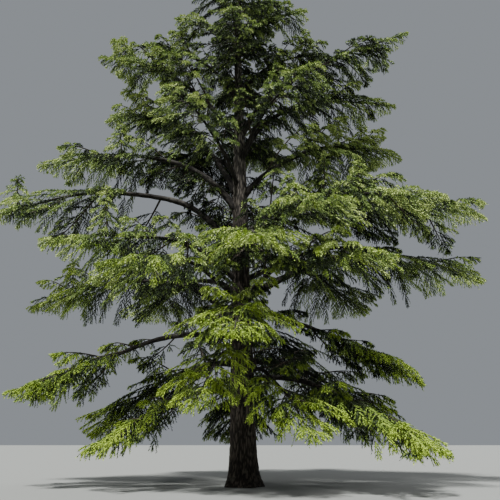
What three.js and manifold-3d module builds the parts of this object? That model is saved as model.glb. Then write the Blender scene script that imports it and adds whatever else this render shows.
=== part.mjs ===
// A mature deodar cedar in open ground: one tapering trunk with a root flare, arching main
// boughs, and shelves of drooping needle sprays. Millimetres, +Z up, the flat cut at ground
// level on Z = 0. +X is the right of the view, +Y points away from the viewer.
import * as THREE from "three";
import { mergeVertices } from "three/addons/utils/BufferGeometryUtils.js";
import Module from "manifold-3d";

const wasm = await Module();
wasm.setup();

const METRE = 1000;
const DEGREE = Math.PI / 180;
const GOLDEN_ANGLE = 137.5 * DEGREE;
const UP = new THREE.Vector3(0, 0, 1);
const AWAY = new THREE.Vector3(0, 1, 0);
const NEARLY_UPRIGHT = 0.98;
const SEED = 20417;

// Trunk
const TREE_HEIGHT = 26.5 * METRE;
const TRUNK_TOP = 25.0 * METRE;
const TRUNK_LEAN = -0.018; // sideways drift for each unit of height, towards the left
const TRUNK_RADIUS = 525; // what the straight taper would give at the ground, less the tip
const TIP_RADIUS = 30;
const TAPER_POWER = 0.85;
const FLARE_RADIUS = 230;
const FLARE_HEIGHT = 480;
const FLARE_LOBES = 5;
const LOBE_DEPTH = 0.32;
const TRUNK_SIDES = 15;
const TRUNK_RINGS = [0, 0.25, 0.6, 1.2, 3.0, 7.0, 12.0, 17.0, 21.5]; // metres, below its top
const CLEARANCE = 0.3; // gap that touching solids keep
const WELD = 0.01; // corners closer than this are one

// Limbs
const LIMB_TAPER = 0.8;
const LIMB_GIRTH = 0.013; // radius at the trunk for each unit of length
const LIMB_GIRTH_BASE = 20;
const LIMB_TIP_RADIUS = 14;
const COLLAR_SWELL = 0.35;
const COLLAR_SHARE = 0.04; // share of the limb over which the collar at the trunk dies away
const START_HANDLE = 0.42; // share of the span that the first and last directions hold for
const END_HANDLE = 0.36;
const ROOT_DEPTH = 0.9; // of the trunk's radius, where a limb's curve starts
const ROOT_SHARE = 0.04; // share of the limb that runs on inside the trunk before it is cut
const BOUGH_SIDES = 6;
const BOUGH_STEPS = 5;
const STEM_SIDES = 4;
const STEM_STEPS = 3;
const STEM_SWELL = 1.15; // makes up for the flats of a four-sided stem

// Foliage
const TWIG_GAP = 640; // between side twigs along a leafy stem
const FEWEST_TWIGS = 6;
const MOST_TWIGS = 9;
const FINE_SHARE = 3; // the full rule has three twigs for each one that is solid here
const TWIG_RADIUS = 36; // of a three-sided twig, which its spray takes over as its ridge
const SPRAY_WIDTH = 0.78; // of a twig's length
const TWIGGY_SHARE = 0.74; // of a leafy stem; beyond it is the spray at its end
const HANGING_LENGTH = 0.86; // of a level twig's length
const STEM_OVERLAP = 0.02; // share of the leafy part that the stem runs on into the end spray
const LEADER_SPREAD = 1.6 * METRE;
const LEADER_STEM_SHARE = 0.98;
const LEADER_STEM_STEPS = 2;
const END_SPRAY_SHARE = 0.8; // the end spray's width against a side spray as long as the shelf
const SHELF_LEAST = 0.35; // of its full width, where a shelf is narrowest
const SHELF_ARC = [0.2, 0.95]; // the stretch of a half wave that its width follows
const TURN = [52, 72]; // degrees that a side twig is turned out from its stem
const TURN_IN = 20; // degrees that the turn loses towards the stem's end
const LEVEL_FALL = [4, 18]; // degrees below level that a twig sets out at
const HANGING_FALL = [32, 46];
const LEVEL_TILT = 38; // degrees that a spray's outer edge is tipped up, so it shows from all round
const HANGING_TILT = 20;
const LEVEL_SAG = [0.2, 0.32]; // share of its length that a twig's end drops further
const HANGING_SAG = [0.12, 0.2];
const LENGTH_RANGE = [0.88, 1.12]; // a twig's length against the shelf's width there
const OWN_GAP = 1; // between two sprays of one mass
const NEIGHBOUR_GAP = 20;
const LIMB_GAP = 12;
const GROUND_GAP = 150;
const HEIGHT_WEIGHT = 1.5; // heights count for more when two shelves share out the space
const HANG = 350; // a shelf's foliage hangs, so its space is centred this far below its stem
const OVERREACH = 350; // how far past an even share of the space a spray may reach
const SPACE_SAMPLES = 14;
const TRIES = 6; // how often a twig is turned another way before it is skipped

// One row for each limb, in metres and degrees: where it leaves the trunk, the way it heads
// (0 is +X, 90 is +Y), how steeply it starts, how far out and how high its tip ends, how
// steeply it ends, the share of it that is bare, the half width of its shelf of foliage, and
// whether the bare part is a bough of its own.
const LIMBS = [
  ["low_right_front", 4.0, 328, 4, 7.8, 1.3, 24, 0.4, 2.8, true],
  ["low_front_right", 4.2, 294, 12, 5.6, 1.7, 30, 0.32, 2.3, false],
  ["low_left_front", 3.5, 202, 6, 6.0, 1.3, 26, 0.38, 2.3, false],
  ["low_front_left", 5.0, 250, 12, 4.8, 2.6, 35, 0.26, 2.2, false],
  ["low_back_left", 4.7, 150, 8, 8.2, 1.9, 25, 0.34, 2.7, false],
  ["low_back", 4.3, 94, 8, 7.8, 1.7, 25, 0.3, 2.7, false],
  ["low_back_right", 4.8, 36, 8, 8.6, 2.2, 25, 0.42, 2.7, true],
  ["left_low_arm", 5.85, 186, 6, 9.3, 3.5, 10, 0.5, 2.3, true],
  ["right_low_arm", 7.1, 344, -22, 7.0, 3.7, 34, 0.4, 2.3, true],
  ["front_low_arm", 6.4, 268, 18, 6.4, 4.6, 30, 0.3, 2.5, false],
  ["back_low_arm", 6.8, 68, 12, 8.8, 4.6, 22, 0.32, 2.7, false],
  ["left_mid_arm", 6.6, 172, 48, 9.9, 7.4, 18, 0.43, 2.5, true],
  ["right_mid_arm", 7.6, 9, 34, 11.4, 8.8, 24, 0.42, 2.9, true],
  ["front_right_arm", 7.4, 310, 35, 7.6, 7.4, 28, 0.32, 2.7, false],
  ["front_left_arm", 7.4, 230, 30, 7.2, 7.2, 28, 0.3, 2.7, false],
  ["back_left_arm", 7.8, 128, 35, 9.4, 8.2, 22, 0.4, 2.8, true],
  ["back_right_arm", 8.4, 46, 35, 9.4, 8.4, 22, 0.4, 2.8, true],
  ["left_arch", 9.3, 183, 72, 11.4, 11.0, 26, 0.5, 2.5, true],
  ["left_shelf", 8.4, 204, 40, 8.5, 8.9, 12, 0.36, 2.5, false],
  ["right_high_shelf", 10.5, 357, 48, 10.8, 11.1, 14, 0.4, 2.7, true],
  ["right_front_shelf", 9.7, 328, 45, 8.8, 10.2, 18, 0.34, 2.6, false],
  ["front_arch", 8.3, 275, 42, 7.0, 7.6, 26, 0.3, 2.6, false],
  ["back_arch", 10.8, 98, 45, 8.6, 11.6, 20, 0.32, 2.7, false],
  ["left_upper_arch", 11.9, 179, 58, 9.9, 14.1, 14, 0.42, 2.4, true],
  ["left_steep", 12.8, 163, 67, 7.9, 18.1, 8, 0.4, 2.3, true],
  ["right_upper_shelf", 12.6, 14, 55, 8.4, 15.6, 14, 0.34, 2.4, false],
  ["front_left_upper", 13.0, 238, 50, 5.9, 14.8, 12, 0.3, 2.3, false],
  ["right_fork", 14.8, 6, 70, 7.8, 18.0, 8, 0.38, 2.2, true],
  ["right_crest", 16.0, 350, 62, 8.2, 20.8, -20, 0.36, 1.9, true],
  ["back_crest", 14.6, 80, 55, 6.8, 17.6, 10, 0.28, 2.3, false],
  ["back_left_upper", 13.6, 136, 55, 7.4, 16.4, 12, 0.3, 2.3, false],
  ["front_right_upper", 14.4, 304, 52, 5.5, 16.3, 12, 0.3, 2.1, false],
  ["left_top", 15.6, 184, 60, 7.4, 20.0, 2, 0.28, 2.2, false],
  ["left_crown", 18.0, 180, 60, 5.4, 21.2, 6, 0.2, 2.2, false],
  ["right_crown", 18.4, 12, 58, 4.9, 21.2, 8, 0.2, 2.2, false],
  ["front_crown", 17.8, 262, 52, 4.1, 19.8, 10, 0.18, 2.2, false],
  ["back_crown", 18.8, 96, 55, 4.6, 21.0, 8, 0.18, 2.2, false],
  ["left_spire", 20.6, 190, 55, 3.6, 22.4, 6, 0.14, 2.0, false],
  ["right_spire", 20.9, 344, 55, 3.3, 22.7, 4, 0.14, 2.0, false],
  ["back_spire", 21.8, 92, 50, 3.0, 23.8, 5, 0.12, 1.8, false],
  ["front_spire", 21.3, 268, 50, 3.0, 22.8, 5, 0.12, 1.9, false],
  ["left_tip", 22.8, 212, 52, 2.5, 24.5, 8, 0.1, 1.7, false],
  ["right_tip", 23.4, 24, 52, 2.1, 24.9, 8, 0.1, 1.6, false],
  ["front_right_shelf", 9.0, 298, 44, 7.4, 9.2, 22, 0.32, 2.5, false],
].map(([name, foot, heading, rise, reach, tip, droop, bare, spread, hasBough]) => ({
  name,
  foot: foot * METRE,
  heading: heading * DEGREE,
  rise: rise * DEGREE,
  reach: reach * METRE,
  tip: tip * METRE,
  droop: droop * DEGREE,
  bare,
  spread: spread * METRE,
  hasBough,
}));

const bark = new THREE.MeshStandardMaterial({ color: 0x4a4038, roughness: 0.95 });
const boughBark = new THREE.MeshStandardMaterial({ color: 0x40372f, roughness: 0.95 });
const needles = new THREE.MeshStandardMaterial({ color: 0x5c7030, roughness: 0.7 });

// A repeatable number from 0 to 1 for each named choice.
function chance(...keys) {
  let h = SEED;
  for (const key of keys) {
    h = Math.imul(h ^ key, 2654435761) >>> 0;
    h = (h ^ (h >>> 15)) >>> 0;
  }
  h = Math.imul(h, 2246822519) >>> 0;
  h = (h ^ (h >>> 13)) >>> 0;
  return h / 2 ** 32;
}

function between([low, high], ...keys) {
  return low + (high - low) * chance(...keys);
}

// A closed geometry as a solid, with only its positions left.
function solidOf(geometry) {
  const bare = geometry.clone();
  bare.deleteAttribute("normal");
  bare.deleteAttribute("uv");
  const merged = mergeVertices(bare, WELD);
  return new wasm.Manifold(
    new wasm.Mesh({
      numProp: 3,
      vertProperties: merged.attributes.position.array,
      triVerts: new Uint32Array(merged.index.array),
    }),
  );
}

function meshOf(name, solid, material) {
  const made = solid.getMesh();
  const geometry = new THREE.BufferGeometry();
  geometry.setAttribute("position", new THREE.BufferAttribute(made.vertProperties, 3));
  geometry.setIndex(new THREE.BufferAttribute(made.triVerts, 1));
  geometry.computeVertexNormals();
  const mesh = new THREE.Mesh(geometry, material);
  mesh.name = name;
  return mesh;
}

// The largest of a solid's separate bodies.
function largest(solid) {
  return solid.decompose().reduce((best, body) => (body.volume() > best.volume() ? body : best));
}

function moveVertices(geometry, place) {
  const position = geometry.attributes.position;
  const vertex = new THREE.Vector3();
  for (let i = 0; i < position.count; i++) {
    vertex.fromBufferAttribute(position, i);
    position.setXYZ(i, ...place(vertex));
  }
  return geometry;
}

function trunkAxis(height) {
  return new THREE.Vector3(TRUNK_LEAN * height, 0, height);
}

function trunkRadius(height) {
  return TRUNK_RADIUS * (1 - height / TREE_HEIGHT) ** TAPER_POWER + TIP_RADIUS;
}

// The turned trunk profile, with its root flare drawn out into buttresses.
function trunkSolid(allowance) {
  const profile = [new THREE.Vector2(0, 0)];
  for (const metres of TRUNK_RINGS) {
    const height = metres * METRE;
    profile.push(new THREE.Vector2(trunkRadius(height) + allowance, height));
  }
  const top = TRUNK_TOP + allowance;
  profile.push(new THREE.Vector2(trunkRadius(top) + allowance, top), new THREE.Vector2(0, top));
  const turned = new THREE.LatheGeometry(profile, TRUNK_SIDES).rotateX(Math.PI / 2);
  return solidOf(
    moveVertices(turned, ({ x, y, z }) => {
      const radius = Math.hypot(x, y);
      const angle = Math.atan2(y, x);
      const lobes = 1 + LOBE_DEPTH * Math.cos(FLARE_LOBES * angle);
      const flare = radius > 1 ? FLARE_RADIUS * lobes * Math.exp(-z / FLARE_HEIGHT) : 0;
      const centre = trunkAxis(z);
      return [
        centre.x + (radius + flare) * Math.cos(angle),
        centre.y + (radius + flare) * Math.sin(angle),
        z,
      ];
    }),
  );
}

// A limb leaves the trunk at its rise, arches over, and ends at its tip along its droop.
function limbCurve(limb) {
  const out = new THREE.Vector3(Math.cos(limb.heading), Math.sin(limb.heading), 0);
  const start = trunkAxis(limb.foot).addScaledVector(out, ROOT_DEPTH * trunkRadius(limb.foot));
  const end = out.clone().multiplyScalar(limb.reach).setZ(limb.tip);
  const span = start.distanceTo(end);
  const first = out.clone().multiplyScalar(Math.cos(limb.rise)).setZ(Math.sin(limb.rise));
  const last = out.clone().multiplyScalar(Math.cos(limb.droop)).setZ(-Math.sin(limb.droop));
  return new THREE.CubicBezierCurve3(
    start,
    start.clone().addScaledVector(first, START_HANDLE * span),
    end.clone().addScaledVector(last, -END_HANDLE * span),
    end,
  );
}

function limbRadius(limb, t) {
  const along = THREE.MathUtils.clamp(t, 0, 1);
  const girth = LIMB_GIRTH * limb.curve.getLength() + LIMB_GIRTH_BASE;
  const collar = 1 + COLLAR_SWELL * Math.exp(-along / COLLAR_SHARE);
  return (girth - LIMB_TIP_RADIUS) * (1 - along) ** LIMB_TAPER * collar + LIMB_TIP_RADIUS;
}

// The way forward, the level way across and the way over a curve, at t.
function curveFrame(curve, t) {
  const step = 1e-3;
  const forward = curve.getPoint(t + step).sub(curve.getPoint(t - step)).normalize();
  const level = Math.abs(forward.z) > NEARLY_UPRIGHT ? AWAY : UP;
  const across = new THREE.Vector3().crossVectors(forward, level).normalize();
  const over = new THREE.Vector3().crossVectors(across, forward);
  return { forward, across, over };
}

// A tapering tube along a stretch of a curve, with its first face moved on by a gap.
function tube(curve, from, to, sides, steps, radiusAt, gap = 0) {
  const straight = new THREE.CylinderGeometry(1, 1, 1, sides, steps);
  return solidOf(
    moveVertices(straight, ({ x, y, z }) => {
      const share = y + 0.5;
      const t = from + (to - from) * share;
      const { forward, across, over } = curveFrame(curve, t);
      const radius = radiusAt(t);
      return curve
        .getPoint(t)
        .addScaledVector(forward, share < 1e-6 ? gap : 0)
        .addScaledVector(across, x * radius)
        .addScaledVector(over, z * radius)
        .toArray();
    }),
  );
}

// A spray of needles: a three-sided twig along a curve, whose two lower edges are drawn out
// into teeth where it is in needle. Each station is a share of its length, then its half
// width there as a share of the spray's width, or none where it is bare twig.
const LONG_SPRAY = [[0, 0], [0.13, 0], [0.38, 0.5], [0.48, 0.3], [0.76, 0.44]];
const SHORT_SPRAY = [[0, 0], [0.14, 0], [0.5, 0.5], [0.62, 0.28]];
const ROOT_WIDTH = 0.55; // of the twig's radius, where it is sunk in its stem
const TWIG_TAPER = 0.5; // share of its radius that a twig loses by its end
const TRIANGLE_SIDE = Math.sqrt(3) / 2; // half the side of a triangle of radius 1

function spray(curve, width, stations, tilt) {
  const steps = stations.length - 1;
  const straight = new THREE.CylinderGeometry(1, 1, 1, 3, steps);
  return solidOf(
    moveVertices(straight, ({ x, y, z }) => {
      const isCentre = Math.hypot(x, z) < 0.5;
      const [along, half] = stations[Math.round((y + 0.5) * steps)];
      const t = isCentre && y > 0 ? 1 : along;
      const { forward, across, over } = curveFrame(curve, t);
      across.applyAxisAngle(forward, tilt);
      over.applyAxisAngle(forward, tilt);
      const girth = along === 0 ? ROOT_WIDTH : 1 - TWIG_TAPER * t;
      const radius = isCentre ? 0 : TWIG_RADIUS * girth;
      const reach = Math.max(half * width, radius * TRIANGLE_SIDE);
      return curve
        .getPoint(t)
        .addScaledVector(across, isCentre ? 0 : (x / TRIANGLE_SIDE) * reach)
        .addScaledVector(over, z * radius)
        .toArray();
    }),
  );
}

// How wide the shelf of foliage is at a share of its length.
function shelfProfile(share) {
  const arc = Math.sin(Math.PI * THREE.MathUtils.lerp(...SHELF_ARC, share));
  return SHELF_LEAST + (1 - SHELF_LEAST) * arc;
}

// A twig's curve from its root, along a way, bent down by its own weight.
function saggingCurve(root, way, length, sag) {
  const middle = root.clone().addScaledVector(way, length / 2);
  const end = root.clone().addScaledVector(way, length).addScaledVector(UP, -sag * length);
  return new THREE.QuadraticBezierCurve3(root, middle, end);
}

// Side twig number j of a mass, by the rule that every mass follows: turned out from the
// stem to alternate sides, two of every four nearly level and the next two hanging. Round
// the upright leader they turn by the golden angle instead.
function sideTwig(mass, j, count, attempt) {
  const key = mass.index * 1000 + j * 10 + attempt;
  const share = (j + 0.5) / count;
  const t = mass.bare + (1 - mass.bare) * TWIGGY_SHARE * share;
  const hanging = (j >> 1) % 2 === 1;
  const { forward } = curveFrame(mass.curve, t);
  const turn = (between(TURN, key, 1) - TURN_IN * share) * DEGREE;
  const fall = between(hanging ? HANGING_FALL : LEVEL_FALL, key, 2) * DEGREE;
  const reach = mass.spread * shelfProfile(share) * between(LENGTH_RANGE, key, 3);
  const sag = between(hanging ? HANGING_SAG : LEVEL_SAG, key, 4);
  const length = hanging ? HANGING_LENGTH * reach : reach;
  const heading =
    mass === leader
      ? GOLDEN_ANGLE * j
      : Math.atan2(forward.y, forward.x) + (j % 2 ? turn : -turn);
  const way = new THREE.Vector3(Math.cos(heading), Math.sin(heading), -Math.tan(fall)).normalize();
  const tilt = (hanging ? HANGING_TILT : LEVEL_TILT) * DEGREE * (j % 2 ? -1 : 1);
  return { hanging, length, tilt, curve: saggingCurve(mass.curve.getPoint(t), way, length, sag) };
}

function weightedDistance(a, b) {
  return Math.hypot(a.x - b.x, a.y - b.y, HEIGHT_WEIGHT * (a.z - b.z));
}

// True if every corner of a solid is nearer to its own stem than to any other.
function keepsToItsSpace(solid, mass) {
  const { vertProperties, numProp } = solid.getMesh();
  for (let i = 0; i < vertProperties.length; i += numProp) {
    const corner = new THREE.Vector3(...vertProperties.subarray(i, i + 3));
    const own = Math.min(...mass.line.map((p) => weightedDistance(corner, p)));
    for (const other of masses) {
      if (other !== mass && other.line.some((p) => weightedDistance(corner, p) < own - OVERREACH)) {
        return false;
      }
    }
  }
  return true;
}

function boxesMeet(a, b, gap) {
  return a.min.every((low, i) => low - gap < b.max[i] && b.min[i] - gap < a.max[i]);
}

function isClear(solid, others, gap) {
  const box = solid.boundingBox();
  return others.every(
    (other) => !boxesMeet(box, other.boundingBox(), gap) || solid.minGap(other, gap) >= gap,
  );
}

const trunk = trunkSolid(0);
const trunkRoom = trunkSolid(CLEARANCE);
for (const limb of LIMBS) {
  limb.curve = limbCurve(limb);
}

// The leader carries on from the trunk's tip to the top of the tree.
const leaderFoot = trunkAxis(TRUNK_TOP);
const leaderTip = trunkAxis(TREE_HEIGHT);
const leader = {
  name: "leader",
  bare: 0,
  spread: LEADER_SPREAD,
  curve: new THREE.QuadraticBezierCurve3(
    leaderFoot,
    leaderFoot.clone().lerp(leaderTip, 0.5),
    leaderTip,
  ),
};

const masses = [...LIMBS, leader];
masses.forEach((mass, index) => {
  mass.index = index;
  mass.line = Array.from({ length: SPACE_SAMPLES }, (_, i) =>
    mass.curve
      .getPoint(mass.bare + ((1 - mass.bare) * i) / (SPACE_SAMPLES - 1))
      .addScaledVector(UP, -HANG),
  );
});

const boughs = LIMBS.filter((limb) => limb.hasBough).map((limb) => ({
  name: "bough_" + limb.name,
  solid: largest(
    tube(limb.curve, -ROOT_SHARE, limb.bare, BOUGH_SIDES, BOUGH_STEPS, (t) =>
      limbRadius(limb, t),
    ).subtract(trunkRoom),
  ),
}));

function stemSolid(mass) {
  if (mass === leader) {
    const radiusAt = (t) => THREE.MathUtils.lerp(trunkRadius(TRUNK_TOP), LIMB_TIP_RADIUS, t);
    const whole = tube(
      mass.curve, -ROOT_SHARE, LEADER_STEM_SHARE, STEM_SIDES, LEADER_STEM_STEPS, radiusAt,
    );
    return largest(whole.subtract(trunkRoom));
  }
  const radiusAt = (t) => STEM_SWELL * limbRadius(mass, t);
  const stemEnd = mass.bare + (1 - mass.bare) * (TWIGGY_SHARE + STEM_OVERLAP);
  if (mass.hasBough) {
    return tube(mass.curve, mass.bare, stemEnd, STEM_SIDES, STEM_STEPS, radiusAt, CLEARANCE);
  }
  const whole = tube(mass.curve, -ROOT_SHARE, stemEnd, STEM_SIDES, STEM_STEPS + 2, radiusAt);
  return largest(whole.subtract(trunkRoom));
}

const limbSolids = [trunk, ...boughs.map((bough) => bough.solid)];
const stems = masses.map(stemSolid);
const grown = [];

// The first of a few attempts at a piece that fits, if any does.
function firstFit(make, fits) {
  for (let attempt = 0; attempt < TRIES; attempt++) {
    const made = make(attempt);
    if (fits(made.solid)) {
      return made;
    }
  }
  return null;
}

function growMass(mass) {
  const stem = stems[mass.index];
  const strangers = [...stems.filter((other) => other !== stem), ...grown.map((m) => m.solid)];
  const sprays = [];
  const fits = (solid) =>
    solid.boundingBox().min[2] > GROUND_GAP &&
    keepsToItsSpace(solid, mass) &&
    isClear(solid, limbSolids, LIMB_GAP) &&
    isClear(solid, strangers, NEIGHBOUR_GAP) &&
    isClear(solid, sprays, OWN_GAP);
  const leafy = (1 - mass.bare) * mass.curve.getLength();
  const twigs = THREE.MathUtils.clamp(Math.round(leafy / TWIG_GAP), FEWEST_TWIGS, MOST_TWIGS);

  const endStart = mass.curve.getPoint(mass.bare + (1 - mass.bare) * TWIGGY_SHARE);
  const endCurve = new THREE.LineCurve3(endStart, mass.curve.getPoint(1));
  sprays.push(spray(endCurve, SPRAY_WIDTH * END_SPRAY_SHARE * mass.spread, LONG_SPRAY, 0));

  for (let i = 0; i < twigs; i++) {
    const twig = firstFit((attempt) => {
      const made = sideTwig(mass, FINE_SHARE * i + 1, FINE_SHARE * twigs, attempt);
      const stations = made.hanging ? SHORT_SPRAY : LONG_SPRAY;
      return { solid: spray(made.curve, SPRAY_WIDTH * made.length, stations, made.tilt) };
    }, fits);
    if (twig) {
      sprays.push(twig.solid);
    }
  }
  const whole = wasm.Manifold.union([stem, ...sprays]);
  grown.push({ name: "foliage_" + mass.name, solid: largest(whole) });
}

masses.forEach(growMass);

const tree = new THREE.Group();
tree.add(meshOf("trunk", trunk, bark));
boughs.forEach(({ name, solid }) => tree.add(meshOf(name, solid, boughBark)));
grown.forEach(({ name, solid }) => tree.add(meshOf(name, solid, needles)));

export default tree;
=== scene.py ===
# %% [markdown]
# This is a mature deodar cedar: one straight trunk, boughs that leave it steeply and arch over,
# and tiers of foliage whose shoots hang like fringes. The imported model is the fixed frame, in
# metres, with the ground at Z = 0. It already has the trunk, the main boughs and one plain solid
# for each shelf of foliage. This script grows the real surface round it: bark with its relief,
# then twigs, shoots and needles, by the same seeded rule as the solids, carried to finer twigs.

# %% The frame
import math
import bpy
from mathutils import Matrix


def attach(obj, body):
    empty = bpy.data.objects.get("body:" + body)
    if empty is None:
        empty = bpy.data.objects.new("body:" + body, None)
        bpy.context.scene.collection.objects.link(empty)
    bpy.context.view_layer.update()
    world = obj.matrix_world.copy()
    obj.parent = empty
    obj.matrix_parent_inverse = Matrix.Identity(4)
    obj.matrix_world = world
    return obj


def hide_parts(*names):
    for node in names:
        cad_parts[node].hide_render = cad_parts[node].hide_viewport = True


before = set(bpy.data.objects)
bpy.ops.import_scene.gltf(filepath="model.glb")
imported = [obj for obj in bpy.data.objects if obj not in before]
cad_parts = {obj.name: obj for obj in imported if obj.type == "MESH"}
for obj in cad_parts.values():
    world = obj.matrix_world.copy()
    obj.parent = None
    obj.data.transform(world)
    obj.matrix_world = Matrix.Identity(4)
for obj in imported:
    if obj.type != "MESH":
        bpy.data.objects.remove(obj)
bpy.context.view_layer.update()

from types import SimpleNamespace

import bmesh
import bpy
import numpy as np
from mathutils import Vector, noise

# %% [markdown]
# Every size below is in metres. The trunk narrows from the ground to its tip by one power law,
# leans a little to the left and spreads into a lobed root flare. A limb narrows towards its tip
# in the same way and swells into a collar where it leaves the trunk.

# %% Sizes of the trunk and the limbs
SEED = 20417
GOLDEN_ANGLE = math.radians(137.5)
UP = np.array([0.0, 0.0, 1.0])
AWAY = np.array([0.0, 1.0, 0.0])
NEARLY_UPRIGHT = 0.98  # the rise beyond which a way is taken as upright

TREE_HEIGHT = 26.5
TRUNK_TOP = 25.0
TRUNK_LEAN = -0.018
TRUNK_RADIUS = 0.525
TIP_RADIUS = 0.030
TAPER_POWER = 0.85
FLARE_RADIUS = 0.230
FLARE_HEIGHT = 0.480
FLARE_LOBES = 5
LOBE_DEPTH = 0.32

LIMB_TAPER = 0.8
LIMB_GIRTH = 0.013
LIMB_GIRTH_BASE = 0.020
LIMB_TIP_RADIUS = 0.014
COLLAR_SWELL = 0.35  # of its girth
COLLAR_SHARE = 0.04  # of its length over which the collar dies away
LIMB_HANDLES = (0.42, 0.36)  # how far its curve's inner points stand off its ends, of their distance
ROOT_DEPTH = 0.9  # of the trunk's radius, where a limb's curve begins
ROOT_SHARE = 0.02  # of its length that a limb is carried further into the trunk
print("the tree is", TREE_HEIGHT, "m high, and its trunk ends at", TRUNK_TOP, "m")

# %% [markdown]
# One row for each limb, the same as in the source: where it leaves the trunk, the way it heads
# (0 is +X, 90 is +Y), how steeply it starts, how far out and how high its tip ends, how steeply
# it ends, the share of it that is bare, the half width of its shelf of foliage, and whether its
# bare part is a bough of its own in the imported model.

# %% The limbs' rows
LIMB_ROWS = [
    ("low_right_front", 4.0, 328, 4, 7.8, 1.3, 24, 0.4, 2.8, True),
    ("low_front_right", 4.2, 294, 12, 5.6, 1.7, 30, 0.32, 2.3, False),
    ("low_left_front", 3.5, 202, 6, 6.0, 1.3, 26, 0.38, 2.3, False),
    ("low_front_left", 5.0, 250, 12, 4.8, 2.6, 35, 0.26, 2.2, False),
    ("low_back_left", 4.7, 150, 8, 8.2, 1.9, 25, 0.34, 2.7, False),
    ("low_back", 4.3, 94, 8, 7.8, 1.7, 25, 0.3, 2.7, False),
    ("low_back_right", 4.8, 36, 8, 8.6, 2.2, 25, 0.42, 2.7, True),
    ("left_low_arm", 5.85, 186, 6, 9.3, 3.5, 10, 0.5, 2.3, True),
    ("right_low_arm", 7.1, 344, -22, 7.0, 3.7, 34, 0.4, 2.3, True),
    ("front_low_arm", 6.4, 268, 18, 6.4, 4.6, 30, 0.3, 2.5, False),
    ("back_low_arm", 6.8, 68, 12, 8.8, 4.6, 22, 0.32, 2.7, False),
    ("left_mid_arm", 6.6, 172, 48, 9.9, 7.4, 18, 0.43, 2.5, True),
    ("right_mid_arm", 7.6, 9, 34, 11.4, 8.8, 24, 0.42, 2.9, True),
    ("front_right_arm", 7.4, 310, 35, 7.6, 7.4, 28, 0.32, 2.7, False),
    ("front_left_arm", 7.4, 230, 30, 7.2, 7.2, 28, 0.3, 2.7, False),
    ("back_left_arm", 7.8, 128, 35, 9.4, 8.2, 22, 0.4, 2.8, True),
    ("back_right_arm", 8.4, 46, 35, 9.4, 8.4, 22, 0.4, 2.8, True),
    ("left_arch", 9.3, 183, 72, 11.4, 11.0, 26, 0.5, 2.5, True),
    ("left_shelf", 8.4, 204, 40, 8.5, 8.9, 12, 0.36, 2.5, False),
    ("right_high_shelf", 10.5, 357, 48, 10.8, 11.1, 14, 0.4, 2.7, True),
    ("right_front_shelf", 9.7, 328, 45, 8.8, 10.2, 18, 0.34, 2.6, False),
    ("front_arch", 8.3, 275, 42, 7.0, 7.6, 26, 0.3, 2.6, False),
    ("back_arch", 10.8, 98, 45, 8.6, 11.6, 20, 0.32, 2.7, False),
    ("left_upper_arch", 11.9, 179, 58, 9.9, 14.1, 14, 0.42, 2.4, True),
    ("left_steep", 12.8, 163, 67, 7.9, 18.1, 8, 0.4, 2.3, True),
    ("right_upper_shelf", 12.6, 14, 55, 8.4, 15.6, 14, 0.34, 2.4, False),
    ("front_left_upper", 13.0, 238, 50, 5.9, 14.8, 12, 0.3, 2.3, False),
    ("right_fork", 14.8, 6, 70, 7.8, 18.0, 8, 0.38, 2.2, True),
    ("right_crest", 16.0, 350, 62, 8.2, 20.8, -20, 0.36, 1.9, True),
    ("back_crest", 14.6, 80, 55, 6.8, 17.6, 10, 0.28, 2.3, False),
    ("back_left_upper", 13.6, 136, 55, 7.4, 16.4, 12, 0.3, 2.3, False),
    ("front_right_upper", 14.4, 304, 52, 5.5, 16.3, 12, 0.3, 2.1, False),
    ("left_top", 15.6, 184, 60, 7.4, 20.0, 2, 0.28, 2.2, False),
    ("left_crown", 18.0, 180, 60, 5.4, 21.2, 6, 0.2, 2.2, False),
    ("right_crown", 18.4, 12, 58, 4.9, 21.2, 8, 0.2, 2.2, False),
    ("front_crown", 17.8, 262, 52, 4.1, 19.8, 10, 0.18, 2.2, False),
    ("back_crown", 18.8, 96, 55, 4.6, 21.0, 8, 0.18, 2.2, False),
    ("left_spire", 20.6, 190, 55, 3.6, 22.4, 6, 0.14, 2.0, False),
    ("right_spire", 20.9, 344, 55, 3.3, 22.7, 4, 0.14, 2.0, False),
    ("back_spire", 21.8, 92, 50, 3.0, 23.8, 5, 0.12, 1.8, False),
    ("front_spire", 21.3, 268, 50, 3.0, 22.8, 5, 0.12, 1.9, False),
    ("left_tip", 22.8, 212, 52, 2.5, 24.5, 8, 0.1, 1.7, False),
    ("right_tip", 23.4, 24, 52, 2.1, 24.9, 8, 0.1, 1.6, False),
    ("front_right_shelf", 9.0, 298, 44, 7.4, 9.2, 22, 0.32, 2.5, False),
]
LEADER_SPREAD = 1.6
print(len(LIMB_ROWS), "limbs and the leading shoot")

# %% [markdown]
# Each limb is a Bezier curve: it sets out at the slope that its row says and arrives at its tip
# with the droop that its own weight gives it. A curve object could be drawn for each, but all
# that grows later, down to the needles, has to ask where it stands and which way is forward.
# These few helpers work that out for many points at once.

# %% Helpers for curves
CURVE_STEP = 1e-3  # share of a curve to either side over which its way forward is measured
LENGTH_SAMPLES = 200  # steps in which a limb's length is measured


def unit(vector):
    return vector / np.linalg.norm(vector, axis=-1, keepdims=True)


def level_way(heading):
    return np.array([math.cos(heading), math.sin(heading), 0.0])


def sloped(level, angle):
    """A level way lifted by an angle, or dipped where the angle is below 0."""
    return level * math.cos(angle) + UP * math.sin(angle)


def part_way(limits, share):
    return limits[0] + (limits[1] - limits[0]) * share


def trunk_axis(height):
    return np.array([TRUNK_LEAN * height, 0.0, height])


def trunk_radius(height):
    return TRUNK_RADIUS * (1 - height / TREE_HEIGHT) ** TAPER_POWER + TIP_RADIUS


def arched(start, end, first, last, handles, size):
    """The four control points of a curve that sets out one way and arrives another."""
    return np.array([start, start + first * handles[0] * size, end - last * handles[1] * size, end])


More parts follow.
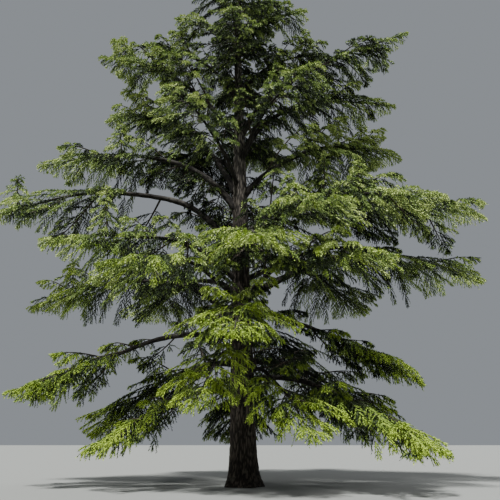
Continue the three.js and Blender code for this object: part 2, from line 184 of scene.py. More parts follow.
def limb_controls(foot, heading, rise, reach, tip, droop):
    """The control points of a limb that leaves the trunk at its rise and ends at its droop."""
    out = level_way(heading)
    start = trunk_axis(foot) + out * ROOT_DEPTH * trunk_radius(foot)
    end = out * reach + UP * tip
    span = np.linalg.norm(end - start)
    return arched(start, end, sloped(out, rise), sloped(out, -droop), LIMB_HANDLES, span)


def bezier(controls, t):
    """The points at the shares t of a Bezier curve with any number of control points."""
    t = np.asarray(t, float)[..., None]
    points = list(controls)
    while len(points) > 1:
        points = [a + (b - a) * t for a, b in zip(points, points[1:])]
    return points[0]


def curve_frame(controls, t):
    """The ways forward, level across and over a curve at the shares t."""
    ahead = bezier(controls, np.add(t, CURVE_STEP))
    forward = unit(ahead - bezier(controls, np.subtract(t, CURVE_STEP)))
    level = np.where(np.abs(forward[..., 2:]) > NEARLY_UPRIGHT, AWAY, UP)
    across = unit(np.cross(forward, level))
    return forward, across, np.cross(across, forward)


def curve_length(controls, samples=LENGTH_SAMPLES):
    points = bezier(controls, np.linspace(0, 1, samples + 1))
    return float(np.linalg.norm(np.diff(points, axis=0), axis=1).sum())


print("the trunk's tip is", round(-trunk_axis(TRUNK_TOP)[0], 2), "m left of its foot")

# %% [markdown]
# With the helpers, each row becomes a limb. Each limb carries a mass of foliage, and so does the
# leading shoot above the trunk, which goes straight on up and is put last.

# %% Limbs as curves
masses = []


def add_limb(name, controls, bare, spread, has_bough=False, is_leader=False):
    """Adds a limb that carries a mass of foliage."""
    masses.append(SimpleNamespace(name=name, index=len(masses), controls=controls,
                                  length=curve_length(controls), bare=bare, spread=spread,
                                  has_bough=has_bough, is_leader=is_leader, is_side=False))


for name, foot, heading, rise, reach, tip, droop, bare, spread, has_bough in LIMB_ROWS:
    heading, rise, droop = np.radians([heading, rise, droop])
    add_limb(name, limb_controls(foot, heading, rise, reach, tip, droop), bare, spread, has_bough)
limbs = list(masses)
trunk_tip, tree_top = trunk_axis(TRUNK_TOP), trunk_axis(TREE_HEIGHT)
leader_controls = np.array([trunk_tip, (trunk_tip + tree_top) / 2, tree_top])
add_limb("leader", leader_controls, 0.0, LEADER_SPREAD, is_leader=True)
leader = masses[-1]
print(len(limbs), "limbs from", round(min(limb.length for limb in limbs), 1), "to",
      round(max(limb.length for limb in limbs), 1), "m long")

# %% [markdown]
# The camera stands where a visitor's eyes would be, 1.6 m above the lawn and 22 m from the
# trunk, and looks up into the crown. Its lens gives the same field of view as the photograph, so
# the tree's top leaves the frame at its upper edge there as well.

# %% The camera
CAMERA_PLACE = (0.25, -22.0, 1.6)
CAMERA_TILT = 20.3  # degrees above level
FOCAL_SHARE = 1.04  # focal length in widths of the picture
SENSOR_WIDTH = 36.0  # mm
CAMERA_SIGHT = 500  # m, beyond which nothing is drawn

camera_data = bpy.data.cameras.new("camera")
camera_data.sensor_width = SENSOR_WIDTH
camera_data.lens = FOCAL_SHARE * SENSOR_WIDTH
camera_data.clip_end = CAMERA_SIGHT
camera = bpy.data.objects.new("camera", camera_data)
camera.location = CAMERA_PLACE
camera.rotation_euler = (math.radians(90 + CAMERA_TILT), 0, 0)
bpy.context.scene.collection.objects.link(camera)
bpy.context.scene.camera = camera
print("lens", round(camera_data.lens, 2), "mm")

# %% [markdown]
# Materials are node trees. A few small helpers keep them short: one turns a colour picked as sRGB
# hex into the linear numbers that a shader works in, by the sRGB standard's own formula, and
# another adds a node and sets or links its inputs in one line. Every material here is matt or
# nearly so, which its roughness and its gloss, the shader's specular level, say from the start.

# %% Helpers for materials
USUAL_GLOSS = 0.5  # what the shader starts from, right for most solid things


def linear(hex_colour):
    """An sRGB hex colour as linear RGBA."""
    channels = [int(hex_colour[i:i + 2], 16) / 255 for i in (1, 3, 5)]
    return tuple(c / 12.92 if c <= 0.04045 else ((c + 0.055) / 1.055) ** 2.4 for c in channels) + (1.0,)


def add_node(tree, kind, inputs=None, **settings):
    """Adds a node. An input given as a socket is linked, and any other value is set."""
    node = tree.nodes.new(kind)
    for key, value in settings.items():
        setattr(node, key, value)
    for key, value in (inputs or {}).items():
        if isinstance(value, bpy.types.NodeSocket):
            tree.links.new(value, node.inputs[key])
        else:
            node.inputs[key].default_value = value
    return node


def new_material(name, roughness, gloss=USUAL_GLOSS):
    """A material, its node tree and its shader."""
    material = bpy.data.materials.new(name)
    material.use_nodes = True
    shader = material.node_tree.nodes["Principled BSDF"]
    shader.inputs["Roughness"].default_value = roughness
    shader.inputs["Specular IOR Level"].default_value = gloss
    return material, material.node_tree, shader


def set_stops(ramp, stops):
    """Gives a colour ramp its stops, as (position, hex colour) pairs."""
    elements = ramp.color_ramp.elements
    stops = list(stops)
    while len(elements) < len(stops):
        elements.new(stops[-1][0])
    for element, (position, colour) in zip(elements, stops):
        element.position = position
        element.color = linear(colour)


print("mid grey, #808080, is", round(linear("#808080")[0], 3), "in linear light")

# %% [markdown]
# Old deodar bark is dark grey-brown and dry, split by long fissures into narrow upright plates
# whose crests weather to a paler grey. Up the trunk it is younger, and it is painted paler there,
# partly for the younger bark and partly as painted sunlight on the upper trunk. A flat image of
# bark would stretch round the root flare, so the plates are in the mesh, and the mesh carries two
# attributes: how high each point stands on its plate, and its place measured round and along the
# limb. The material reads both: cracks stay dark, and the grain runs along every limb. Bark is
# rough and has no polish, so its roughness is high and it has hardly any gloss.

# %% Bark
BARK_ROUGHNESS = 0.92
BARK_GLOSS = 0.25
BARK_GRAIN = 0.024  # m across a strand of the bark's grain, drawn coarser than the real 2 mm to show
BARK_STRETCH = 8  # how many times longer than wide the grain is
GRAIN_DETAIL = 4.0  # finer layers of noise in the grain
LICHEN_PATCH = 0.35  # m across
LICHEN_DETAIL = 3.0  # finer layers of noise in the patches
LAYER_WEIGHT = 0.6  # how much each finer layer counts beside the one before
# Over this stretch the bark is blended to paler tones, for younger bark and as painted sunlight on the
# upper trunk.
YOUNGER_AND_LIT_BARK = (10.5, 15.5)  # m up the trunk over which its bark turns paler
BARK_STOPS = (0.18, 0.42, 0.78)  # where the crack's, the plate's and the crest's tones lie on the ramp
LICHEN_SPOTS = (0.56, 0.72, 0.55)  # where spots begin and end in the noise, and how much they cover
BARK_RELIEF = 0.008  # m, of the grain alone; the plates themselves are in the mesh
BARK_BUMP = 0.5  # share of that relief which the light shows


def bark_material(name, tones, lichen, younger_and_lit_tones=None):
    """Bark whose tones run from crack to crest. The tones for the upper trunk, if given, are paler:
    younger bark, and painted sunlight.
    """
    material, tree, shader = new_material(name, BARK_ROUGHNESS, BARK_GLOSS)
    wrapped = add_node(tree, "ShaderNodeAttribute", attribute_name="wrapped").outputs["Vector"]
    height = add_node(tree, "ShaderNodeAttribute", attribute_name="ridge").outputs["Fac"]
    along = add_node(tree, "ShaderNodeMapping", {"Vector": wrapped, "Scale": (1, 1, 1 / BARK_STRETCH)})
    grain = add_node(tree, "ShaderNodeTexNoise",
                     {"Vector": along.outputs[0], "Scale": 1 / BARK_GRAIN, "Detail": GRAIN_DETAIL,
                      "Roughness": LAYER_WEIGHT})
    patches = add_node(tree, "ShaderNodeTexNoise",
                       {"Vector": wrapped, "Scale": 1 / LICHEN_PATCH, "Detail": LICHEN_DETAIL,
                        "Roughness": LAYER_WEIGHT})
    mixed = add_node(tree, "ShaderNodeMath", {0: height, 1: grain.outputs["Fac"]}, operation="ADD")
    half = add_node(tree, "ShaderNodeMath", {0: mixed.outputs[0], 1: 0.5}, operation="MULTIPLY")
    colours = add_node(tree, "ShaderNodeValToRGB", {"Fac": half.outputs[0]})
    set_stops(colours, zip(BARK_STOPS, tones))
    tone = colours.outputs["Color"]
    # Painted sunlight with younger bark: the upper trunk is blended to paler tones.
    if younger_and_lit_tones:
        up_the_trunk = add_node(tree, "ShaderNodeSeparateXYZ", {"Vector": wrapped}).outputs["Z"]
        climb = add_node(tree, "ShaderNodeMapRange",
                         {"Value": up_the_trunk, "From Min": YOUNGER_AND_LIT_BARK[0], "From Max": YOUNGER_AND_LIT_BARK[1]})
        upper_lit_tones = add_node(tree, "ShaderNodeValToRGB", {"Fac": half.outputs[0]})
        set_stops(upper_lit_tones, zip(BARK_STOPS, younger_and_lit_tones))
        blend = add_node(tree, "ShaderNodeMix",
                         {"Factor": climb.outputs[0], "A": tone, "B": upper_lit_tones.outputs["Color"]},
                         data_type="RGBA")
        tone = blend.outputs["Result"]
    spots = add_node(tree, "ShaderNodeMapRange",
                     {"Value": patches.outputs["Fac"], "From Min": LICHEN_SPOTS[0],
                      "From Max": LICHEN_SPOTS[1], "To Max": LICHEN_SPOTS[2]})
    surface = add_node(tree, "ShaderNodeMix",
                       {"Factor": spots.outputs[0], "A": tone, "B": linear(lichen)}, data_type="RGBA")
    tree.links.new(surface.outputs["Result"], shader.inputs["Base Color"])
    bump = add_node(tree, "ShaderNodeBump",
                    {"Height": grain.outputs["Fac"], "Strength": BARK_BUMP, "Distance": BARK_RELIEF})
    tree.links.new(bump.outputs["Normal"], shader.inputs["Normal"])
    return material


# The second set of tones paints the upper trunk paler: younger bark, and painted sunlight.
trunk_bark = bark_material("furrowed_deodar_bark", ("#0f0d0b", "#28231e", "#4d463e"), "#5f5b51",
                           younger_and_lit_tones=("#181614", "#37342f", "#78726a"))
limb_bark = bark_material("limb_bark", ("#0d0c0a", "#1f1c19", "#37342f"), "#58564f")
print("bark grain", BARK_GRAIN * 1000, "mm, stretched", BARK_STRETCH, "times")

# %% [markdown]
# Young twigs have thin smooth bark, fawn where it is new and grey-brown where it is older. It has
# no plates, and its fine cracks are far too small to show from here, so all that it gets is a
# slow change of tone along the wood, in patches about as long as a hand is wide.

# %% Twig bark
TWIG_ROUGHNESS = 0.85
TWIG_PATCH = 1 / 9  # m across
TWIG_DETAIL = 2.0  # finer layers of noise
TWIG_STOPS = ((0.35, "#1f1912"), (0.65, "#403628"))

twig_bark, twig_tree, twig_shader = new_material("twig_bark", TWIG_ROUGHNESS)
twig_noise = add_node(twig_tree, "ShaderNodeTexNoise",
                      {"Vector": add_node(twig_tree, "ShaderNodeTexCoord").outputs["Object"],
                       "Scale": 1 / TWIG_PATCH, "Detail": TWIG_DETAIL})
twig_colours = add_node(twig_tree, "ShaderNodeValToRGB", {"Fac": twig_noise.outputs["Fac"]})
set_stops(twig_colours, TWIG_STOPS)
twig_tree.links.new(twig_colours.outputs["Color"], twig_shader.inputs["Base Color"])
print("patches of", round(TWIG_PATCH * 1000), "mm on the twigs")

# %% [markdown]
# Deodar needles are slim, matt and slightly waxy. This year's are yellow-green at the ends of
# the shoots and older ones further in are darker. Two finishes paint the light on: a brighter
# green as painted sunlight, and a nearly black one as painted shade for the needles that no sun
# reaches. High in the crown the bright ones are greyer, partly from more wax and partly as a
# painted reflection of the sky. One image over the whole crown couldn't follow that, so each
# shoot takes one of these finishes, dealt out by where it grows. Each finish drifts a little in
# tone from place to place, as neighbouring twigs do. Wax gives a soft sheen and no sharp
# highlight, so the roughness is middling and the gloss low.

# %% Greens of the needles
NEEDLE_ROUGHNESS = 0.6
NEEDLE_GLOSS = 0.2
SHADE_DRIFT = 1.1  # m across a patch of slightly different green
DRIFT_DETAIL = 2.0  # finer layers of noise in the patches
NEEDLE_FLECK = 0.05  # m, a real needle's length, so that neighbours differ
FLECK_DETAIL = 1.0  # finer layers of noise from needle to needle
GREEN_STOPS = (0.36, 0.5, 0.64)  # where the dark, the usual and the light shade lie on the ramp


def needle_material(name, dark, body, light):
    material, tree, shader = new_material(name, NEEDLE_ROUGHNESS, NEEDLE_GLOSS)
    place = add_node(tree, "ShaderNodeTexCoord").outputs["Object"]
    drift = add_node(tree, "ShaderNodeTexNoise",
                     {"Vector": place, "Scale": 1 / SHADE_DRIFT, "Detail": DRIFT_DETAIL})
    fleck = add_node(tree, "ShaderNodeTexNoise",
                     {"Vector": place, "Scale": 1 / NEEDLE_FLECK, "Detail": FLECK_DETAIL})
    both = add_node(tree, "ShaderNodeMath",
                    {0: drift.outputs["Fac"], 1: fleck.outputs["Fac"]}, operation="ADD")
    half = add_node(tree, "ShaderNodeMath", {0: both.outputs[0], 1: 0.5}, operation="MULTIPLY")
    colours = add_node(tree, "ShaderNodeValToRGB", {"Fac": half.outputs[0]})
    set_stops(colours, zip(GREEN_STOPS, (dark, body, light)))
    tree.links.new(colours.outputs["Color"], shader.inputs["Base Color"])
    return material


# The second green is painted sunlight and the fourth, nearly black, is painted shade; the last two are the
# bright greens greyed by wax and a painted reflection of the sky.
NEEDLE_FINISHES = [
    needle_material("needles_this_year", "#768c2f", "#889e38", "#99ae43"),
    needle_material("needles_painted_sunlit", "#596c2b", "#718735", "#8aa047"),
    needle_material("needles_grown", "#242f1b", "#354228", "#495636"),
    needle_material("needles_painted_shade", "#0e160d", "#151f12", "#202c1a"),
    needle_material("needles_this_year_wax_and_sky_sheen", "#849850", "#9fb064", "#b9c67f"),
    needle_material("needles_painted_sunlit_wax_and_sky_sheen", "#5b6d38", "#738849", "#8ca05c"),
]
# The bright finishes have greyer versions, wax together with a painted reflection of the sky.
SUNNED_KINDS = 2  # the first two finishes have a waxy version
TO_WAX_AND_SKY_SHEEN = 4  # how much further down the list that is
print(len(NEEDLE_FINISHES), "greens")

# %% [markdown]
# Trunk and limbs are tubes. A grid rolled up and welded along its seam makes one whose every
# point can be placed by where it is round and along the limb, which a plain cylinder can't do
# once bark plates stand out of it. The plates come from a cell pattern, stretched along the
# limb: the distance to the nearest border between two cells is how high the plate stands.

# %% Rolled tubes and their plates of bark
PLATE_BEND = 0.35  # how far noise pushes the cells about, so that no fissure is straight
BEND_PACE = 0.7  # how fast that noise changes from cell to cell
PLATE_EDGE = 0.45  # share of a cell from the fissure to the flat crest
WELD = 1e-5
noise.seed_set(SEED)  # without a seed, the cells would be pushed about in another way in each run


def plate_height(wrapped, width, length):
    """0 in a fissure and 1 on the crest of a plate of bark, with a soft shoulder between them."""
    cell = Vector((wrapped[0] / width, wrapped[1] / width, wrapped[2] / length))
    bent = cell + PLATE_BEND * noise.noise_vector(cell * BEND_PACE)
    distances, _ = noise.voronoi(bent)
    rise = min(1.0, (distances[1] - distances[0]) / PLATE_EDGE)
    return rise * rise * (3 - 2 * rise)


def add_piece(name, mesh):
    """A piece that shows a mesh. The tree is one body, and all of it rides on that."""
    piece = bpy.data.objects.new(name, mesh)
    bpy.context.scene.collection.objects.link(piece)
    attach(piece, "root")
    return piece


def rolled_tube(name, sides, rings, place, material):
    """A closed tube from a rolled grid. place(turn, along) gives the point, its place wrapped
    round and along the limb, and how high it stands on its plate of bark."""
    bm = bmesh.new()
    bmesh.ops.create_grid(bm, x_segments=sides, y_segments=rings, size=0.5)  # from -0.5 to 0.5
    wrapped = bm.verts.layers.float_vector.new("wrapped")
    ridge = bm.verts.layers.float.new("ridge")
    for vert in bm.verts:
        vert.co, vert[wrapped], vert[ridge] = place(vert.co.x + 0.5, vert.co.y + 0.5)
    bmesh.ops.remove_doubles(bm, verts=bm.verts, dist=WELD)
    for face in bm.faces:
        face.smooth = True
    bmesh.ops.holes_fill(bm, edges=bm.edges, sides=0)  # closes the two ends
    bmesh.ops.recalc_face_normals(bm, faces=bm.faces)
    mesh = bpy.data.meshes.new(name)
    bm.to_mesh(mesh)
    bm.free()
    mesh.materials.append(material)
    return add_piece(name, mesh)


# %% [markdown]
# The trunk's plates are long and narrow, and its fissures about 3 cm deep at the foot. They get
# shallower with the trunk's own girth. At the foot the trunk spreads into five lobes, where the
# main roots leave it, and the rings stand closer together there.

# %% Trunk
PLATE_WIDTH = 0.085
PLATE_LENGTH = 0.42
FISSURE_DEPTH = 0.034
TRUNK_SIDES = 144
TRUNK_RINGS = 380
RING_CROWDING = 1.15  # above 1 the rings stand closer together at the foot


def trunk_place(turn, along):
    height = TRUNK_TOP * along ** RING_CROWDING
    angle = math.tau * turn
    radius = trunk_radius(height)
    lobes = 1 + LOBE_DEPTH * math.cos(FLARE_LOBES * angle)
    radius += FLARE_RADIUS * lobes * math.exp(-height / FLARE_HEIGHT)
    wrapped = (radius * math.cos(angle), radius * math.sin(angle), height)
    rise = plate_height(wrapped, PLATE_WIDTH, PLATE_LENGTH)
    depth = FISSURE_DEPTH * min(1.0, radius / TRUNK_RADIUS)
    reach = radius - depth * (1 - rise)
    axis = trunk_axis(height)
    return (axis[0] + reach * math.cos(angle), axis[1] + reach * math.sin(angle), height), wrapped, rise


trunk = rolled_tube("trunk_bark", TRUNK_SIDES, TRUNK_RINGS, trunk_place, trunk_bark)
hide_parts("trunk")
print("trunk:", len(trunk.data.polygons), "faces")

# %% [markdown]
# A limb is the same rolled grid along its own curve: the bare bough first, then the thinner stem
# that carries the foliage, in one piece. Real limbs are never perfectly smooth, so each wanders
# by a few centimetres as it grows, with small swellings where old twigs were.

# %% Limbs
LIMB_SIDES = 14
LIMB_RING_GAP = 0.14  # m between rings along a limb
LIMB_PLATE_WIDTH = 0.06
LIMB_PLATE_LENGTH = 0.26
LIMB_FISSURE = 0.12  # of the limb's radius
END_SHARE = 0.4  # of its tip's radius that a limb still has where it ends
WANDER = 0.05  # m that a limb strays from its curve
WANDER_PACES = (9, 11, 13)  # radians of its sway over the limb's length, in X, Y and Z
WANDER_SHIFT = 1.7  # radians from one limb's sway to the next one's
KNOT_SWELL = 0.14  # of its radius
KNOTS_ROUND = 2  # how fast the swellings follow each other round a limb
KNOTS_ALONG = 1.6  # and for each metre along it
FEWEST_RINGS = 8
INDEX_SHIFT = 3.0  # m along the pattern from one limb to the next, so that no two look alike


def limb_radius(limb, t):
    along = min(max(t, 0.0), 1.0)
    girth = LIMB_GIRTH * limb.length + LIMB_GIRTH_BASE
    if limb.is_leader:
        return trunk_radius(TRUNK_TOP) * (1 - along) + END_SHARE * LIMB_TIP_RADIUS * along
    collar = 1 + COLLAR_SWELL * math.exp(-along / COLLAR_SHARE)
    narrowing = (girth - LIMB_TIP_RADIUS) * (1 - along) ** LIMB_TAPER * collar
    return narrowing + LIMB_TIP_RADIUS * (1 - (1 - END_SHARE) * along)


def wander(limb, t):
    """How far a limb strays from its curve at the shares t."""
    t = np.asarray(t, float)
    phase = WANDER_SHIFT * limb.index
    swing = WANDER * np.sin(math.pi * np.clip(t, 0, 1)) * (0 if limb.is_leader or limb.is_side else 1)
    x, y, z = (pace * t + number * phase for number, pace in enumerate(WANDER_PACES, 1))
    return np.stack([swing * np.sin(x), swing * np.cos(y), swing * np.sin(z)], axis=-1)


def limb_point(limb, t):
    return bezier(limb.controls, t) + wander(limb, t)


def make_limb(limb):
    start = 0.0 if limb.is_leader else -ROOT_SHARE
    rings = max(FEWEST_RINGS, round(limb.length / LIMB_RING_GAP))
    shares = part_way((start, 1), np.linspace(0, 1, rings + 1))
    centres = limb_point(limb, shares)
    _, across, over = curve_frame(limb.controls, shares)

    def place(turn, along):
        ring = round(along * rings)
        radius = limb_radius(limb, shares[ring])
        angle = math.tau * turn
        wrapped = (radius * math.cos(angle), radius * math.sin(angle),
                   along * limb.length + INDEX_SHIFT * limb.index)
        rise = plate_height(wrapped, LIMB_PLATE_WIDTH, LIMB_PLATE_LENGTH)
        knot = noise.noise(Vector((KNOTS_ROUND * math.cos(angle), KNOTS_ROUND * math.sin(angle),
                                   wrapped[2] * KNOTS_ALONG)))
        reach = radius * (1 + KNOT_SWELL * knot) * (1 - LIMB_FISSURE * (1 - rise))
        point = centres[ring] + reach * (math.cos(angle) * across[ring] + math.sin(angle) * over[ring])
        return point, wrapped, rise

    piece = rolled_tube("limb_" + limb.name, LIMB_SIDES, rings, place, limb_bark)
    if limb.has_bough:
        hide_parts("bough_" + limb.name)
    return piece


limb_pieces = [make_limb(limb) for limb in masses]
print(len(limb_pieces), "limbs,", sum(len(piece.data.polygons) for piece in limb_pieces), "faces")

# %% [markdown]
# No two twigs are alike, yet the same tree has to grow in each run, and where the source has a
# twig this one needs it too. So no choice is a throw of dice. Each has a key, a whole number
# whose bits are stirred until they look random, and the same key always gives the same answer,
# a number from 0 to 1.

# %% Chances
KEY_STIR = 2654435761  # large odd numbers that stir the bits, as in the source
LAST_STIR = 2246822519
KEY_SHIFT = 15
LAST_SHIFT = 13
WORD = 2 ** 32  # the numbers are kept below this
KEYS_A_STEM = 1000  # how far apart the keys of two stems are
KEYS_A_TWIG = 10  # and those of two twigs of a stem, which leaves room for a few tries


def chance(*keys):
    """A repeatable number from 0 to 1 for each named choice."""
    h = SEED
    for key in keys:
        h = (h ^ key) * KEY_STIR % WORD
        h ^= h >> KEY_SHIFT
    h = h * LAST_STIR % WORD
    h ^= h >> LAST_SHIFT
    return h / WORD


def between(limits, *keys):
    return part_way(limits, chance(*keys))


print("key 1 gives", round(chance(1), 3), "and key 2 gives", round(chance(2), 3))

# %% [markdown]
# Side twigs follow the source's seeded rule. They leave the stem to alternate sides, two of
# every four nearly level and the next two hanging, and the solids have one in three of them.
# Together they make a flat shelf, broadest in its middle, which is what a deodar's bough looks
# like from afar.

# %% The rule for side twigs
TWIGGY_SHARE = 0.74  # of the leafy part
HANGING_LENGTH = 0.86  # of a level twig's length
SHELF_LEAST = 0.35  # of the spread, at the narrowest
SHELF_ARC = (0.2, 0.95)  # the part of a half circle's arc that its outline follows
SHELF_ENDING = 2.2  # how fast a shelf narrows past its twiggy part
TURN = (52, 72)  # degrees out from the stem
TURN_IN = 20  # degrees of that which the outermost twig lacks
LEVEL_FALL = (4, 18)  # degrees below level
HANGING_FALL = (32, 46)
TIP_CALM = 0.35  # share of its fall that the outermost twig lacks, so that a shelf ends in a wedge
LEVEL_SAG = (0.2, 0.32)  # of the twig's length
HANGING_SAG = (0.12, 0.2)
LENGTH_RANGE = (0.88, 1.12)


def shelf_profile(share):
    """How long a twig is at its share along the stem, of the longest."""
    arc = math.sin(math.pi * part_way(SHELF_ARC, min(share, 1.0)))
    return (SHELF_LEAST + (1 - SHELF_LEAST) * arc) * (1 - SHELF_ENDING * max(share - 1.0, 0.0))


def turned_off(forward, turn, number):
    """A heading turned off the way forward, to the right for even numbers and left for odd."""
    return math.atan2(forward[1], forward[0]) + (turn if number % 2 else -turn)


def side_twig(stem, j, count, attempt):
    """The three control points of side twig number j of a stem, and its length."""
    key = stem.number * KEYS_A_STEM + j * KEYS_A_TWIG + attempt
    share = (j + 0.5) / count
    t = stem.bare + (1 - stem.bare) * TWIGGY_SHARE * share
    hanging = j // 2 % 2 == 1
    forward = curve_frame(stem.controls, t)[0]
    turn = math.radians(between(TURN, key, 1) - TURN_IN * share)
    fall = between(HANGING_FALL if hanging else LEVEL_FALL, key, 2) * (1 - TIP_CALM * share)
    length = stem.spread * shelf_profile(share) * between(LENGTH_RANGE, key, 3)
    sag = between(HANGING_SAG if hanging else LEVEL_SAG, key, 4)
    if hanging:
        length *= HANGING_LENGTH
    heading = GOLDEN_ANGLE * j if stem.is_leader else turned_off(forward, turn, j)
    way = unit(level_way(heading) - UP * math.tan(math.radians(fall)))
    root = limb_point(stem, t)
    return np.array([root, root + way * length / 2, root + way * length - UP * sag * length]), length


print("a shelf's twigs are", round(shelf_profile(0), 2), "of the longest at its root and",
      round(shelf_profile(1), 2), "at its tip")

# %% [markdown]
# Each shelf has its own share of the space, because limbs compete for light: a twig reaches only
# as far as it is nearer to its own limb than to any other, give or take a little. One that would
# go further, or into the trunk or down to the ground, is turned another way and, if that doesn't
# help, skipped, so the tiers keep their gaps of sky.

# %% Twigs that fit
TWIG_GAP = 0.640
FEWEST_TWIGS = 6
MOST_TWIGS = 9
FINE_SHARE = 3  # times as many as the solids have
LAST_SHARE = 1.3  # how far past the twiggy part the finer twigs are carried, to the limb's tip
HANG = 0.350  # m that the middle of a shelf's space is below its limb
HEIGHT_WEIGHT = 1.5  # a metre up or down parts two shelves as this many metres level do
OVERREACH = 0.350  # m that a twig may pass the border between two spaces
SPACE_SAMPLES = 14
TWIG_SAMPLES = 7
TRIES = 6
LOWEST = 0.9  # m above the ground for any foliage
OFF_THE_TRUNK = 0.05

space_lines = np.array([
    bezier(mass.controls, part_way((mass.bare, 1), np.linspace(0, 1, SPACE_SAMPLES))) - UP * HANG
    for mass in masses
])


def keeps_to_its_space(points, mass_index, overreach):
    """True if every point is nearer to its own limb than to any other, less the overreach."""
    apart = points[:, None, None, :] - space_lines[None]
    apart[..., 2] *= HEIGHT_WEIGHT
    nearest = np.linalg.norm(apart, axis=-1).min(axis=2)
    return bool((nearest >= nearest[:, mass_index:mass_index + 1] - overreach).all())


def is_clear(points):
    """True if all but a curve's root is off the ground and outside the trunk."""
    heights = np.clip(points[2:, 2], 0, TRUNK_TOP)
    away = np.hypot(points[2:, 0] - TRUNK_LEAN * heights, points[2:, 1])
    is_outside = (away > trunk_radius(heights) + OFF_THE_TRUNK).all()
    return bool(is_outside and points[:, 2].min() > LOWEST)


def grow_twigs(stem, count):
    """The side twigs of a stem that fit, as (control points, length) pairs."""
    grown = []
    for j in range(round(count * LAST_SHARE)):
        for attempt in range(TRIES):
            controls, length = side_twig(stem, j, count, attempt)
            points = bezier(controls, np.linspace(0, 1, TWIG_SAMPLES))
            if keeps_to_its_space(points, stem.index, stem.overreach) and is_clear(points):
                grown.append((controls, length))
                break
    return grown


for mass in masses:
    leafy = (1 - mass.bare) * mass.length
    fine_count = FINE_SHARE * min(max(math.floor(leafy / TWIG_GAP + 0.5), FEWEST_TWIGS), MOST_TWIGS)
    mass.number = mass.index
    mass.overreach = OVERREACH
    mass.twigs = grow_twigs(mass, fine_count)
print(sum(len(mass.twigs) for mass in masses), "side twigs,",
      round(sum(length for mass in masses for _, length in mass.twigs)), "m in all")

# %% [markdown]
# Between the limb and its twigs a cedar of this age has side boughs, which the solids leave out.
# No two limbs grow alike, and the photograph shows which are full, which are thin, which lift
# their side boughs and which let them hang, so the limbs' habits are given by name. The habits
# also make some limbs' greens brighter or darker as a whole: partly younger or older needles,
# partly painted light and shade.

# %% Habits of the limbs
NO_HABIT = (1, 0, 0.0)
# The third number shifts a limb's greens: partly their youth, partly painted light or shade on the whole
# limb.
HABITS = {  # times as many side boughs, the degrees they are lifted, how much younger the greens are
    "left_arch": (0.6, -34, 0.05), "left_upper_arch": (1.0, -2, 0.1), "left_mid_arm": (1.0, 26, 0.1),
    "left_low_arm": (1.7, 10, 0.1), "left_shelf": (1.0, 0, 0.08), "left_top": (1.6, 0, 0.24),
    "left_steep": (1.6, 14, 0.16), "left_crown": (1.4, 0, 0.14), "right_fork": (0.9, 12, 0.05),
    "right_crest": (1.3, -30, -0.1), "right_crown": (2.3, 8, -0.02), "right_spire": (2.2, 0, -0.05),
    "right_tip": (1.3, 0, 0.0), "front_crown": (2.6, -24, -0.1), "front_spire": (1.8, 0, 0.0),
    "front_left_upper": (1.5, -4, 0.0), "front_right_upper": (2.0, 0, -0.05),
    "right_low_arm": (2.4, 2, -0.18), "right_mid_arm": (0.8, 24, 0.08), "right_upper_shelf": (1.8, 6, 0.4),
    "right_high_shelf": (1.3, -10, 0.1), "right_front_shelf": (1.6, -16, 0.12),
    "front_arch": (2.0, -18, 0.2), "front_low_arm": (2.0, 24, 0.1), "front_right_shelf": (1.3, -6, 0.1),
    "front_right_arm": (1.3, 8, 0.05), "front_left_arm": (1.2, 0, 0.1),
    "low_front_right": (2.1, 10, -0.05), "low_front_left": (2.0, 12, 0.1),
    "low_left_front": (1.5, 10, 0.1), "low_right_front": (2.0, 4, 0.02), "low_back_left": (1.4, 6, 0.0),
    "low_back": (1.8, 10, -0.3), "low_back_right": (2.1, 2, -0.3), "back_low_arm": (1.2, 0, -0.3),
    "back_left_arm": (1.1, 26, 0.0), "back_right_arm": (1.1, 28, 0.0), "back_arch": (1.2, -10, 0.0),
    "back_left_upper": (1.8, -14, -0.3), "back_crest": (1.8, 0, 0.0), "back_crown": (1.8, 0, 0.0),
    "back_spire": (1.5, 0, 0.0), "left_spire": (1.5, 0, 0.05),
}
print(len(HABITS), "limbs with habits of their own")

# %% [markdown]
# About every metre a side bough leaves the limb, to the left and right in turn. One rises and
# arches over, the next stays level and the third hangs, and each carries a small shelf of twigs
# of its own by the same rule. They fill the crown between the tiers and break up the tips'
# outline. A side bough is a curve with the same few facts as a limb, so each helper that takes
# a limb takes it too.

# %% Side boughs
SIDE_GAP = (0.8, 1.4)  # m of limb for each side bough, at the ground and at the top
SIDE_PLACES = (0.12, 0.9)  # shares of the limb between which they leave it
BARE_SHARE = 0.75  # of the bare part, where that part shows: side boughs are few and short there
BARE_LENGTH = 0.6
SIDE_TURN = (24, 58)  # degrees out from the limb
SIDE_RISES = ((16, 46), (-10, 14), (-54, -22))  # degrees from the limb's slope: over, level, hanging
SIDE_SLOPES = (-52, 58)  # the steepest that any may start
SIDE_CALM = 0.75  # share of its rise or hang that the outermost side bough lacks
SIDE_LENGTH = (0.25, 0.38)  # of the limb's length
SIDE_NARROWING = 0.35  # share of that length that the outermost lacks
SIDE_DROOP = (16, 44)  # degrees below level at their tips
SIDE_REACH = 0.9  # how far its tip ends from its foot, of its length
SIDE_CLIMB = (0.78, 0.1)  # share of its rise that its tip keeps, and how far it sags below that
SIDE_HANDLES = (0.4, 0.35)  # how far its curve's inner points stand off its ends, of its length
SIDE_BARE = 0.16
SIDE_SPREAD = 0.36  # of the side bough's length
SIDE_TWIG_GAP = 0.25
SIDE_FEWEST_TWIGS = 6
SIDE_OVERREACH = 1.3
SIDE_INSET = 0.6  # m that a side bough stays inside its limb's reach
SIDE_SAMPLES = 9
SIDE_LENGTH_SAMPLES = 30
SIDE_NUMBERS = 100  # side boughs are numbered from here on, so that each draws its own chances
SIDES_A_LIMB = 30  # the numbers kept for each limb's
SIDE_KEYS = 600  # where the keys for their own shape start, among those of their limb


